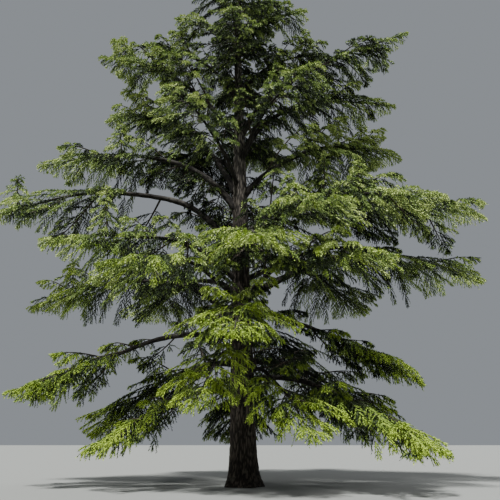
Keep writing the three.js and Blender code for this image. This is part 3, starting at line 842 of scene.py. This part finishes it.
def on_bare_part(limb, share):
    return limb.has_bough and part_way(SIDE_PLACES, share) < BARE_SHARE * limb.bare


def new_stem(limb, number, controls, bare, spread, overreach, is_leader=False):
    """A stem that carries twigs of its own. A leader's twigs stand all round it."""
    return SimpleNamespace(index=limb.index, number=number, controls=controls,
                           length=curve_length(controls, SIDE_LENGTH_SAMPLES), bare=bare, spread=spread,
                           overreach=overreach, is_leader=is_leader, is_side=True)


def side_bough(limb, number, count, attempt):
    """A side bough as a stem of its own, left and right in turn."""
    key = limb.index * KEYS_A_STEM + SIDE_KEYS + number * KEYS_A_TWIG + attempt
    share = (number + 0.5) / count
    t = part_way(SIDE_PLACES, share)
    forward = curve_frame(limb.controls, t)[0]
    turn = math.radians(between(SIDE_TURN, key, 5))
    lift = between(SIDE_RISES[number % 3], key, 6) * (1 - SIDE_CALM * share)
    slope = math.degrees(math.asin(forward[2])) + lift + HABITS.get(limb.name, NO_HABIT)[1]
    rise = math.radians(min(max(slope, SIDE_SLOPES[0]), SIDE_SLOPES[1]))
    droop = math.radians(between(SIDE_DROOP, key, 7))
    length = limb.length * between(SIDE_LENGTH, key, 8) * (1 - SIDE_NARROWING * share)
    if on_bare_part(limb, share):
        length *= BARE_LENGTH
    out = level_way(turned_off(forward, turn, number))
    start = limb_point(limb, t)
    end = start + length * (out * SIDE_REACH + UP * (SIDE_CLIMB[0] * math.sin(rise) - SIDE_CLIMB[1]))
    controls = arched(start, end, sloped(out, rise), sloped(out, -droop), SIDE_HANDLES, length)
    return new_stem(limb, SIDE_NUMBERS + limb.index * SIDES_A_LIMB + number, controls, SIDE_BARE,
                    SIDE_SPREAD * length, SIDE_OVERREACH)


def grow_side_boughs(limb):
    gap = part_way(SIDE_GAP, limb.controls[0, 2] / TREE_HEIGHT)
    count = round(limb.length / gap * HABITS.get(limb.name, NO_HABIT)[0])
    grown = []
    for number in range(count):
        if number % 2 and on_bare_part(limb, (number + 0.5) / count):
            continue
        for attempt in range(TRIES):
            side = side_bough(limb, number, count, attempt)
            points = bezier(side.controls, np.linspace(0, 1, SIDE_SAMPLES))
            outmost = np.hypot(*limb.controls[-1, :2]) - SIDE_INSET
            within = np.hypot(points[:, 0], points[:, 1]).max() < outmost
            if within and keeps_to_its_space(points, limb.index, SIDE_OVERREACH) and is_clear(points):
                side.twigs = grow_twigs(side, max(SIDE_FEWEST_TWIGS, round(side.length / SIDE_TWIG_GAP)))
                grown.append(side)
                break
    return grown


for mass in masses:
    mass.sides = [] if mass.is_leader else grow_side_boughs(mass)
print(sum(len(mass.sides) for mass in masses), "side boughs")

# %% [markdown]
# The trunk itself bears short boughs between the limbs, all round it and closer together towards
# the top, so that its upper part is hidden in green. The photograph shows one stretch of it bare
# in front, halfway up. They are stems by the same rule, on curves like the limbs', and count as
# the leader's, because the trunk carries both.

# %% Short boughs of the trunk
INNER_FEET = (4.8, 24.6)  # m up the trunk, the lowest and the highest
INNER_COUNT = 76
INNER_BARE = (8.8, 15.4)  # m up the trunk where its front is bare of them, as the photograph shows
INNER_CROWDING = 0.72  # below 1 they stand closer together towards the top
INNER_REACH = (1.6, 2.8)  # m
INNER_NARROWING = 0.48  # share of its reach that one at the very top of the tree would lack
INNER_RISE = (5, 50)  # degrees above level
INNER_CLIMB = (-0.15, 0.45)  # how high the tip ends over the foot, for each metre of reach
INNER_SPREAD = 0.45  # m for each metre of reach
INNER_TWIGS = 8
INNER_KEYS = 1500  # both their numbers and their chances start from here
TO_THE_FRONT = -0.25  # the sine of a heading beyond which a bough shows in front of the trunk
NO_LIMIT = 99.0  # m, for stems whose twigs may cross into any shelf's space


def inner_boughs():
    """Short boughs that leave the trunk itself between the limbs."""
    grown = []
    for number in range(INNER_COUNT):
        key = INNER_KEYS + number
        heading = GOLDEN_ANGLE * number
        share = ((number + chance(key, 1)) / INNER_COUNT) ** INNER_CROWDING
        foot = part_way(INNER_FEET, share)
        if INNER_BARE[0] < foot < INNER_BARE[1] and math.sin(heading) < TO_THE_FRONT:
            continue
        reach = between(INNER_REACH, key, 2) * (1 - INNER_NARROWING * foot / TREE_HEIGHT)
        rise = math.radians(between(INNER_RISE, key, 3))
        tip = foot + reach * between(INNER_CLIMB, key, 4)
        controls = limb_controls(foot, heading, rise, reach, tip, math.radians(SIDE_DROOP[1]))
        stem = new_stem(leader, key, controls, SIDE_BARE, INNER_SPREAD * reach, NO_LIMIT)
        stem.twigs = grow_twigs(stem, INNER_TWIGS)
        grown.append(stem)
    return grown


leader.sides = inner_boughs()
print(len(leader.sides), "short boughs on the trunk")

# %% [markdown]
# Here and there along its upper limbs an old deodar sends a shoot straight up, like a small tree
# of its own. These stand out as pointed tops on the shelves. Each is a nearly upright stem with
# twigs all round, wide at the foot and narrow at the top, placed by the share of the limb where
# the photograph shows one, or where one would stand at the back.

# %% Upright leaders on the limbs
SPIRES = {  # the shares of a limb's length at which they stand
    "right_upper_shelf": (0.45, 0.62, 0.76), "right_high_shelf": (0.34, 0.5), "right_fork": (0.6,),
    "front_right_shelf": (0.5,), "right_front_shelf": (0.45, 0.62), "right_crown": (0.35, 0.7),
    "right_spire": (0.4,),
    "left_arch": (0.9,), "left_upper_arch": (0.62,), "left_top": (0.6, 0.85), "left_steep": (0.75,),
    "left_crown": (0.6,), "left_shelf": (0.7,), "left_mid_arm": (0.8,), "back_arch": (0.55,),
    "back_crest": (0.6,), "back_left_arm": (0.6, 0.85), "back_right_arm": (0.65,),
    "back_left_upper": (0.7,),
}
SPIRE_HEIGHT = (1.5, 2.3)  # m
SPIRE_SPREAD = (0.6, 0.85)  # m, the length of its longest twigs
SPIRE_BARE = 0.1
SPIRE_TWIGS = 18
SPIRE_CLIMB = (0, 0.33, 0.67, 1)  # shares of its height at which its curve's four points stand
SPIRE_LEAN = 0.2  # m that its top leans away from the trunk
SPIRE_LEANS = (0, 0.7, 1, 1)  # shares of that lean which those points have
SPIRE_KEYS = 1600  # both their numbers and their chances start from here
KEYS_A_LIMB = 5  # the keys kept for each limb's


def spire(limb, share, key, number):
    """An upright leader at a share of a limb."""
    start = limb_point(limb, share)
    lean = unit(start * (1, 1, 0)) * SPIRE_LEAN
    climb = UP * between(SPIRE_HEIGHT, key, 1)
    controls = start + np.outer(SPIRE_CLIMB, climb) + np.outer(SPIRE_LEANS, lean)
    return new_stem(limb, key, controls, SPIRE_BARE, between(SPIRE_SPREAD, key, 2), NO_LIMIT,
                    is_leader=True)


def add_stems(places, first_key, shape, twig_count):
    """Adds the stems that shape(limb, share, key, number) makes, each with its twigs."""
    for limb in limbs:
        for number, share in enumerate(places.get(limb.name, ())):
            stem = shape(limb, share, first_key + limb.index * KEYS_A_LIMB + number, number)
            stem.twigs = grow_twigs(stem, twig_count)
            limb.sides.append(stem)


add_stems(SPIRES, SPIRE_KEYS, spire, SPIRE_TWIGS)
print(sum(len(shares) for shares in SPIRES.values()), "upright leaders")

# %% [markdown]
# The opposite grows in the shade, under the arch at the upper left and under a limb behind it:
# near the trunk both bear a few boughs that hang, and in the photograph their clumps are dark
# against the sky. Each sets out level or a little below and bends down steeply, on one side of
# the limb and then on the other.

# %% Boughs that hang under the arches
HANGERS = {  # the shares of a limb's length at which they hang
    "left_upper_arch": (0.08, 0.12, 0.17, 0.22, 0.27), "back_left_upper": (0.15, 0.3, 0.45),
}
HANGER_TURN = (15, 70)  # degrees out from the limb
HANGER_FALL = (0, 35)  # degrees below level where it starts
HANGER_LENGTH = (1.5, 2.3)  # m
HANGER_REACH = 0.45  # of that length, how far out its tip is
HANGER_DROP = 0.8  # of that length, how far down its tip is
HANGER_HANDLES = (0.3, 0.4)  # of that length, how far its curve's inner points stand off its ends
HANGER_SPREAD = 0.7  # m, the length of its longest twigs
HANGER_TWIGS = 9
HANGER_KEYS = 1900  # both their numbers and their chances start from here


def hanger(limb, share, key, number):
    """A hanging bough at a share of a limb."""
    forward = curve_frame(limb.controls, share)[0]
    out = level_way(turned_off(forward, math.radians(between(HANGER_TURN, key, 1)), number))
    way = sloped(out, -math.radians(between(HANGER_FALL, key, 2)))
    length = between(HANGER_LENGTH, key, 3)
    start = limb_point(limb, share)
    end = start + length * (HANGER_REACH * out - HANGER_DROP * UP)
    controls = arched(start, end, way, -UP, HANGER_HANDLES, length)
    return new_stem(limb, key, controls, SIDE_BARE, HANGER_SPREAD, NO_LIMIT)


add_stems(HANGERS, HANGER_KEYS, hanger, HANGER_TWIGS)
sides = [side for mass in masses for side in mass.sides]
print(len(sides), "stems beside the limbs, with", sum(len(side.twigs) for side in sides), "twigs,",
      round(sum(length for side in sides for _, length in side.twigs)), "m in all")

# %% [markdown]
# Shoots are what the eye reads as deodar foliage: each twig carries a row of them to either
# side, set out level and then bent down by their own weight, so a twig looks like an arched
# fringe. On a twig that hangs they lie close along it, like a tassel. A shoot is one curve of
# three points. Particles would scatter them, but they are lost in an export, and one object each
# would be slow: there are some fifty thousand, so their points are worked out as arrays. They
# stand further apart, and are longer, than on the real tree, which has far more of them.

# %% Shoots
SHOOT_GAP = 0.115  # m between shoots along a twig of the limb
SIDE_SHOOT_GAP = 0.112  # and along a twig of a side bough
SHOOT_PLACES = (0.2, 0.8)  # shares of its own gap between which a shoot grows
CROWN_CROWDING = 0.36  # share of that gap which a twig at the very top of the tree lacks
FEWEST_SHOOTS = 4
SHOOT_LENGTH = 0.6
SHOOT_LENGTHS = (0.6, 1.22)  # times that length
SHORTEST_AT_ENDS = 0.7  # times that length at a twig's root and tip
CROWN_SHORTENING = 0.36  # share of its length that a shoot at the very top of the tree lacks
SHOOT_TURN = (36, 76)  # degrees that a shoot is turned out from its twig
TIP_CLOSE = 0.5  # share of that turn which the outermost shoot lacks
HANGING_CLOSE = 0.65  # which a shoot on a twig that hangs straight down lacks
CROWN_CLOSE = 0.3  # and which one at the very top of the tree lacks
SHOOT_RISE = (-0.05, 0.25)  # how far above its turn a shoot sets out
SHOOT_DROOP = (0.3, 0.85)  # how much a shoot's weight bends it
CROWN_CALM = 0.15  # share of that droop which one at the very top of the tree lacks
DROOP_FALL = 0.8  # of its length, how far its end falls for a droop of 1
DROOP_LOSS = 0.4  # of its length, what it loses in reach for a droop of 1
FIRST_SHOOT = 0.1  # share of a twig that is bare at its root
PAST_THE_TIP = 0.08  # m that a shoot may end past its twig
LEAST_COSINE = 0.3  # of its turn, so that a shoot that stands far out isn't given endless room
TWIG_YOUTH = 0.3  # how much twigs differ in the green that their shoots share
rng = np.random.default_rng(SEED)


def shoots_on(controls, length, gap, start=FIRST_SHOOT):
    """The control points of the shoots on a twig, and how young each one is: more so outwards."""
    crown = controls[0, 2] / TREE_HEIGHT
    count = max(FEWEST_SHOOTS, round(length * (1 - start) / (gap * (1 - CROWN_CROWDING * crown))))
    share = start + (1 - start) * (np.arange(count) + rng.uniform(*SHOOT_PLACES, count)) / count
    root = bezier(controls, share)
    forward, across, _ = curve_frame(controls, share)
    side = np.where(np.arange(count) % 2 == 0, 1.0, -1.0)
    turn = np.radians(rng.uniform(*SHOOT_TURN, count)) * (1 - TIP_CLOSE * share ** 3)
    turn *= (1 - HANGING_CLOSE * np.clip(-forward[:, 2], 0, 1)) * (1 - CROWN_CLOSE * crown)
    set_out = unit(forward * np.cos(turn)[:, None] + across * (side * np.sin(turn))[:, None]
                   + UP * rng.uniform(*SHOOT_RISE, (count, 1)))
    room = (1 - share) * length / np.maximum(np.cos(turn), LEAST_COSINE) + PAST_THE_TIP
    usual = SHOOT_LENGTH * (1 - CROWN_SHORTENING * crown) * rng.uniform(*SHOOT_LENGTHS, count)
    fullness = SHORTEST_AT_ENDS + (1 - SHORTEST_AT_ENDS) * np.sin(math.pi * share)
    size = np.minimum(usual * fullness, room)
    droop = rng.uniform(*SHOOT_DROOP, count) * (1 - CROWN_CALM * crown)
    middle = root + set_out * (0.5 * size)[:, None]
    end = root + set_out * (size * (1 - DROOP_LOSS * droop))[:, None]
    end -= UP * (size * droop * DROOP_FALL)[:, None]
    return np.stack([root, middle, end], axis=1), share + rng.normal(0, TWIG_YOUTH)


print("shoots of", round(SHOOT_LENGTH * SHOOT_LENGTHS[0], 2), "to",
      round(SHOOT_LENGTH * SHOOT_LENGTHS[1], 2), "m, every", SHOOT_GAP, "m")

# %% [markdown]
# Every twig gets its shoots, and so does the last third of every stem, where its twigs are
# short. The shoots of a limb, its side boughs and all their twigs are kept together as one mass.

# %% Shoots of each mass
TIP_FROM = 0.9  # of a stem's twiggy part, where its own row of shoots begins
TIP_SAMPLES = 20


def stem_tip(stem):
    """The last part of a stem as a curve of three points, for its own row of shoots. The middle
    one is moved off the stem, so that the curve passes where the stem does."""
    along = np.array([TWIGGY_SHARE * TIP_FROM, (1 + TWIGGY_SHARE) / 2, 1.0])
    tip = limb_point(stem, part_way((stem.bare, 1), along))
    tip[1] = 2 * tip[1] - (tip[0] + tip[2]) / 2
    return tip


def joined(rows):
    """Rows of arrays as one row, each array joined to those that stand above it."""
    return [np.concatenate(column) for column in zip(*rows)]


def stem_shoots(stem, gap):
    """The shoots of a stem: their control points and their youth."""
    found = [shoots_on(controls, length, gap) for controls, length in stem.twigs]
    tip = stem_tip(stem)
    return joined(found + [shoots_on(tip, curve_length(tip, TIP_SAMPLES), gap, 0.0)])


for mass in masses:
    found = [stem_shoots(mass, SHOOT_GAP)] + [stem_shoots(side, SIDE_SHOOT_GAP) for side in mass.sides]
    mass.shoots, mass.youth = joined(found)
print(sum(len(mass.shoots) for mass in masses), "shoots")

# %% [markdown]
# Deodar needles are 3 to 5 cm long and as thin as thread, a hundred or more to a shoot. Here a
# needle is one slim triangle, rooted on the shoot and leaning forward, and it is longer and
# broader than a real one, because it stands for the tuft that grows there. Needles stand all
# round the shoot in a spiral that turns by the golden angle, as they do on the tree. Where they
# grow too close to tell apart, a slim tapering core takes their place.

# %% Needles as arrays
NEEDLES_A_SHOOT = 11
FIRST_NEEDLE = 0.04  # share of a shoot that is bare at its root
NEEDLE_LENGTH = 0.11
NEEDLE_LENGTHS = (0.85, 1.15)  # times that length
SHORTEST_NEEDLES = 0.7  # times that length at a shoot's root and tip
NEEDLE_WIDTH = 0.046
NEEDLE_LEAN = (58, 28)  # degrees from the shoot's own way, at its root and at its tip
NEEDLE_ROLL = 0.7  # radians that a needle may be turned about its own length, to either side


def side_by_side(curves):
    """The control points of many curves, as arrays that one call of bezier works out together."""
    return [curves[:, i, None, :] for i in range(curves.shape[1])]


def needles_for(shoots):
    """The corners of every needle on some shoots: one triangle each."""
    share = FIRST_NEEDLE + (1 - FIRST_NEEDLE) * (np.arange(NEEDLES_A_SHOOT) + 0.5) / NEEDLES_A_SHOOT
    controls = side_by_side(shoots)
    root = bezier(controls, share)
    forward, across, over = curve_frame(controls, share)
    turn = GOLDEN_ANGLE * np.arange(NEEDLES_A_SHOOT) + rng.uniform(0, math.tau, (len(shoots), 1))
    outward = across * np.cos(turn)[..., None] + over * np.sin(turn)[..., None]
    lean = np.radians(part_way(NEEDLE_LEAN, share))[:, None]
    way = forward * np.cos(lean) + outward * np.sin(lean)
    fullness = SHORTEST_NEEDLES + (1 - SHORTEST_NEEDLES) * np.sin(math.pi * share)
    size = NEEDLE_LENGTH * fullness * rng.uniform(*NEEDLE_LENGTHS, turn.shape)
    flat = np.cross(way, outward)
    roll = rng.uniform(-NEEDLE_ROLL, NEEDLE_ROLL, turn.shape)[..., None]
    half = unit(flat * np.cos(roll) + np.cross(way, flat) * np.sin(roll)) * NEEDLE_WIDTH / 2
    corners = np.stack([root - half, root + half, root + way * size[..., None]], axis=2)
    return corners.reshape(-1, 3)


print(NEEDLES_A_SHOOT, "needles on each shoot")

# %% [markdown]
# The cores of the shoots, and later the twigs, are rods: rings of corners along a curve, each a
# little smaller than the one before, and a point at the end. A bevelled curve is the usual way
# to make one, but thousands of curves would be slow to make and to turn into meshes. Here one
# pattern of triangles, for the wall, the point and the closed foot, serves every rod, moved on
# by as many corners as a rod has.

# %% Rods
ROD_TAPER = 0.75  # share of its radius that a rod has lost where its point begins


def rods(curves, radii, sides, steps):
    """Closed tapering rods along some curves: their corners and their triangles."""
    shares = np.linspace(0, 1, steps + 1)
    controls = side_by_side(curves)
    centres = bezier(controls, shares)
    _, across, over = curve_frame(controls, shares[:-1])
    angles = math.tau * np.arange(sides) / sides
    around = across[:, :, None] * np.cos(angles)[:, None] + over[:, :, None] * np.sin(angles)[:, None]
    girths = np.asarray(radii)[:, None] * (1 - ROD_TAPER * shares[:-1])
    rings = centres[:, :-1, None] + around * girths[:, :, None, None]
    corners = np.concatenate([rings.reshape(len(curves), -1, 3), centres[:, -1:]], axis=1)
    near = np.arange(steps * sides).reshape(steps, sides)
    after = np.roll(near, -1, axis=1)
    point = np.full(sides, steps * sides)
    fan = np.arange(1, sides - 1)
    one = np.concatenate([
        np.stack([near[:-1], after[1:], after[:-1]], axis=-1).reshape(-1, 3),
        np.stack([near[:-1], near[1:], after[1:]], axis=-1).reshape(-1, 3),
        np.stack([near[-1], point, after[-1]], axis=-1),
        np.stack([0 * fan, fan, fan + 1], axis=-1),
    ])
    firsts = np.arange(len(curves)) * (steps * sides + 1)
    return corners.reshape(-1, 3), (one + firsts[:, None, None]).reshape(-1, 3)


print("one shoot's core:", len(rods(masses[0].shoots[:1], [1.0], 3, 2)[1]), "triangles")

# %% [markdown]
# A cedar's greens have a place: the rim of a shelf is young and bright, and further in the
# needles are older. Light and shade are painted into the greens as well: the upper face of a
# shelf gets painted sunlight, its underside and the foliage close to the trunk, most of all low
# down, get painted shade, and some limbs are painted lit or shaded as a whole. Each shoot gets a
# measure of youth and painted light from where it grows, and it picks one of the finishes. The
# outer needles of some shoots are a year younger than the rest of theirs.

# %% Dealing out the greens
# These steps of youth and painted light start this year's, the painted sunlit and the grown needles; below
# the last lies the painted shade.
FINISH_STEPS = (1.0, 0.55, 0.0)  # the least youth of this year's, sunned and grown needles
# Painted sunlight on a shelf's upper face and painted shade on its underside, by height:
OVER_PAINTED_LIGHT_AND_SHADE = 0.55  # youth for each metre above the limb
OVER_RANGE = (-0.9, 0.6)  # m below and above the limb within which that counts
OVER_SHIFT = 0.45  # m that the middle of a shelf hangs below its limb
# Outwards the shoots are younger; inwards, near the trunk, they get painted shade, more so low down:
OUT_YOUTH_AND_SHADE = (0.4, 0.95)  # youth for each share of the limb's reach, high up and more low down
OUT_MIDDLE = 0.68  # share of the reach where that is neither young nor old
YOUTH_SPREAD = 0.08  # how much single shoots differ
# Higher up more of the bright needles are greyed, partly by wax and partly by a painted reflection of the
# sky.
WAX_AND_SKY_SHEEN_FROM = 4.0  # m above the ground where bright needles begin to carry wax
WAX_AND_SKY_SHEEN_OVER = 6.0  # m more until all of them do
CROWN_SLOPE = 0.5  # the crown's own reach for each metre below its top
CROWN_REACH = (1.0, 7.0)  # m, the least and the most of any reach
STEM_SAMPLES = 30
FRESH_SHARE = 0.6  # from here on out a shoot's needles may be a year younger than its others
FRESH_CHANCE = 0.35


def height_over(limb, ends):
    """How far each point is above the middle of its limb's shelf, in metres."""
    stem = bezier(limb.controls, np.linspace(0, 1, STEM_SAMPLES))
    apart = np.hypot(ends[:, None, 0] - stem[None, :, 0], ends[:, None, 1] - stem[None, :, 1])
    return np.clip(ends[:, 2] - stem[apart.argmin(axis=1), 2] + OVER_SHIFT, *OVER_RANGE)


def with_wax_and_sky_sheen(kinds, wax_and_sky_sheen):
    """The finishes with the bright ones changed for their greyer version, wax and a painted reflection of
    the sky, where the mask says so.
    """
    return np.where((kinds < SUNNED_KINDS) & wax_and_sky_sheen, kinds + TO_WAX_AND_SKY_SHEEN, kinds)


def finishes_for(mass):
    """Which green each needle and each core takes: younger outwards and older further in, with painted
    sunlight on a shelf's upper face and painted shade below it and near the trunk.
    """
    count = len(mass.shoots)
    ends = mass.shoots[:, 2]
    if mass.is_leader:
        over = np.zeros(count)
        reach = np.clip(CROWN_SLOPE * (TREE_HEIGHT - ends[:, 2]), *CROWN_REACH)
    else:
        over = height_over(mass, ends)
        reach = max(np.hypot(*mass.controls[-1, :2]), CROWN_REACH[0])
    outness = np.minimum(np.hypot(ends[:, 0], ends[:, 1]) / reach, 1.0)
    lowness = 1 - ends[:, 2] / TREE_HEIGHT
    # Youth along the twig, then the limb's own painted light or shade, then painted light over the shelf
    # and shade under it:
    youth = mass.youth + HABITS.get(mass.name, NO_HABIT)[2] + OVER_PAINTED_LIGHT_AND_SHADE * over
    youth += (OUT_YOUTH_AND_SHADE[0] + OUT_YOUTH_AND_SHADE[1] * lowness) * (outness - OUT_MIDDLE)
    youth += rng.normal(0, YOUTH_SPREAD, count)
    of_shoot = np.digitize(-youth, [-step for step in FINISH_STEPS])
    # The greying of bright shoots higher up, wax and a painted sky reflection:
    wax_and_sky_sheen = rng.random(count) < np.clip((ends[:, 2] - WAX_AND_SKY_SHEEN_FROM) / WAX_AND_SKY_SHEEN_OVER, 0, 1)
    is_outer = np.arange(NEEDLES_A_SHOOT) > FRESH_SHARE * NEEDLES_A_SHOOT
    fresh = is_outer & (rng.random((count, 1)) < FRESH_CHANCE)
    of_needle = np.maximum(of_shoot[:, None] - fresh, 0)
    return with_wax_and_sky_sheen(of_needle, wax_and_sky_sheen[:, None]), with_wax_and_sky_sheen(of_shoot, wax_and_sky_sheen)


for mass in masses:
    mass.needle_finishes, mass.core_finishes = finishes_for(mass)
dealt = np.bincount(np.concatenate([mass.core_finishes for mass in masses]))
for material, count in zip(NEEDLE_FINISHES, dealt):
    print(material.name, "on", count, "shoots")

# %% [markdown]
# Half a million needles can't be objects of their own. They are joined, the needles of
# neighbouring limbs together, into a few meshes that a viewer can still load, and each mesh takes
# the place of those limbs' plain solids. Arrays fill a mesh in one step.

# %% Needles as meshes
PIECE_LIMIT = 190_000  # triangles
CORE_RADIUS = 0.027
CORE_SHAPE = (3, 2)  # sides and steps
CORE_FACES = 2 * CORE_SHAPE[0] * CORE_SHAPE[1] - 2  # the triangles that such a rod has


def joined_piece(name, corners, faces, finishes, materials):
    """A piece from arrays of corners, of triangles and of which material each triangle takes."""
    mesh = bpy.data.meshes.new(name)
    mesh.vertices.add(len(corners))
    mesh.vertices.foreach_set("co", corners.astype(np.float32).ravel())
    mesh.loops.add(faces.size)
    mesh.loops.foreach_set("vertex_index", faces.astype(np.int32).ravel())
    mesh.polygons.add(len(faces))
    mesh.polygons.foreach_set("loop_start", np.arange(0, faces.size, faces.shape[1], dtype=np.int32))
    mesh.polygons.foreach_set("material_index", finishes.astype(np.int32))
    mesh.update(calc_edges=True)
    for material in materials:
        mesh.materials.append(material)
    return add_piece(name, mesh)


def shoots_in(some):
    return sum(len(mass.shoots) for mass in some)


groups = [[]]
for mass in masses:
    if shoots_in(groups[-1] + [mass]) * (NEEDLES_A_SHOOT + CORE_FACES) > PIECE_LIMIT:
        groups.append([])
    groups[-1].append(mass)

needle_count = 0
for number, group in enumerate(groups, 1):
    shoots = np.concatenate([mass.shoots for mass in group])
    needles = needles_for(shoots)
    cores, core_faces = rods(shoots, np.full(len(shoots), CORE_RADIUS), *CORE_SHAPE)
    faces = np.concatenate([np.arange(len(needles)).reshape(-1, 3), core_faces + len(needles)])
    needle_finishes = np.concatenate([mass.needle_finishes.ravel() for mass in group])
    core_finishes = np.repeat(np.concatenate([mass.core_finishes for mass in group]), CORE_FACES)
    piece = joined_piece(f"needles_{number}", np.concatenate([needles, cores]), faces,
                         np.concatenate([needle_finishes, core_finishes]), NEEDLE_FINISHES)
    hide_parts(*["foliage_" + mass.name for mass in group])
    needle_count += len(needles) // 3
    print("needles", number, "has", len(faces), "triangles")
print(shoots_in(masses), "shoots with", needle_count, "needles")

# %% [markdown]
# Under the needles every side bough and twig has its own wood: a rod that tapers along its curve
# to a point. A bevelled curve would do that too, with many more faces. Three sides are enough for
# a twig a few centimetres thick, and seven for a side bough. They are joined in the same way as
# the needles, apart from them, and have one finish.

# %% Wood of the twigs and side boughs
TWIG_RADIUS = 0.016
SIDE_GIRTH = 0.011  # radius of a side bough for each metre of its length
SIDE_GIRTH_BASE = 0.012
TWIG_SHAPE = (3, 3)  # sides and steps
SIDE_SHAPE = (7, 10)


def wood_of(group):
    """The rods of some masses, twigs and then side boughs: their corners and their triangles."""
    stems = [stem for mass in group for stem in [mass] + mass.sides]
    twigs = np.array([controls for stem in stems for controls, _ in stem.twigs])
    corners, faces = rods(twigs, np.full(len(twigs), TWIG_RADIUS), *TWIG_SHAPE)
    boughs = [side for mass in group for side in mass.sides]
    girths = [SIDE_GIRTH_BASE + SIDE_GIRTH * side.length for side in boughs]
    bough_corners, bough_faces = rods(np.array([side.controls for side in boughs]), girths, *SIDE_SHAPE)
    return joined([(corners, faces), (bough_corners, bough_faces + len(corners))])


for number, group in enumerate(groups, 1):
    corners, faces = wood_of(group)
    joined_piece(f"twigs_{number}", corners, faces, np.zeros(len(faces)), [twig_bark])
    print("twigs", number, "has", len(faces), "triangles")

# %% [markdown]
# The stage is a plain pale floor under soft studio light: a strong key light from high on the
# left in front, as the sun stands in the photograph, a weaker one from behind to part the tiers,
# and an even pale surround for the shade. The floor's grey looks pale under so strong a light,
# and a whiter one would throw too much of it up into the undersides of the tiers.

# %% Stage and light
FLOOR_SIZE = 600
FLOOR_ROUGHNESS = 0.9  # matt, so that nothing mirrors in it
SKY_STRENGTH = 0.36

bm = bmesh.new()
bmesh.ops.create_grid(bm, x_segments=1, y_segments=1, size=FLOOR_SIZE / 2)
floor_mesh = bpy.data.meshes.new("floor")
bm.to_mesh(floor_mesh)
bm.free()
floor_finish, _, floor_shader = new_material("pale_studio_floor", FLOOR_ROUGHNESS)
floor_shader.inputs["Base Color"].default_value = linear("#737571")
floor_mesh.materials.append(floor_finish)
floor = bpy.data.objects.new("floor", floor_mesh)
bpy.context.scene.collection.objects.link(floor)

world = bpy.data.worlds.new("pale_sky")
bpy.context.scene.world = world
world.use_nodes = True
surround = world.node_tree.nodes["Background"]
surround.inputs["Color"].default_value = linear("#dfe6ee")
surround.inputs["Strength"].default_value = SKY_STRENGTH


def add_sun(name, towards, strength, softness):
    """A light from far away, from the way given, with shadows that are soft by some degrees."""
    data = bpy.data.lights.new(name, "SUN")
    data.energy = strength
    data.angle = math.radians(softness)
    light = bpy.data.objects.new(name, data)
    light.rotation_euler = Vector(towards).to_track_quat("Z", "Y").to_euler()
    bpy.context.scene.collection.objects.link(light)


add_sun("key_light", towards=(-0.34, -0.67, 1.45), strength=10.4, softness=6)
add_sun("back_light", towards=(0.7, 0.8, 0.7), strength=1.1, softness=25)
print("floor", FLOOR_SIZE, "m across")
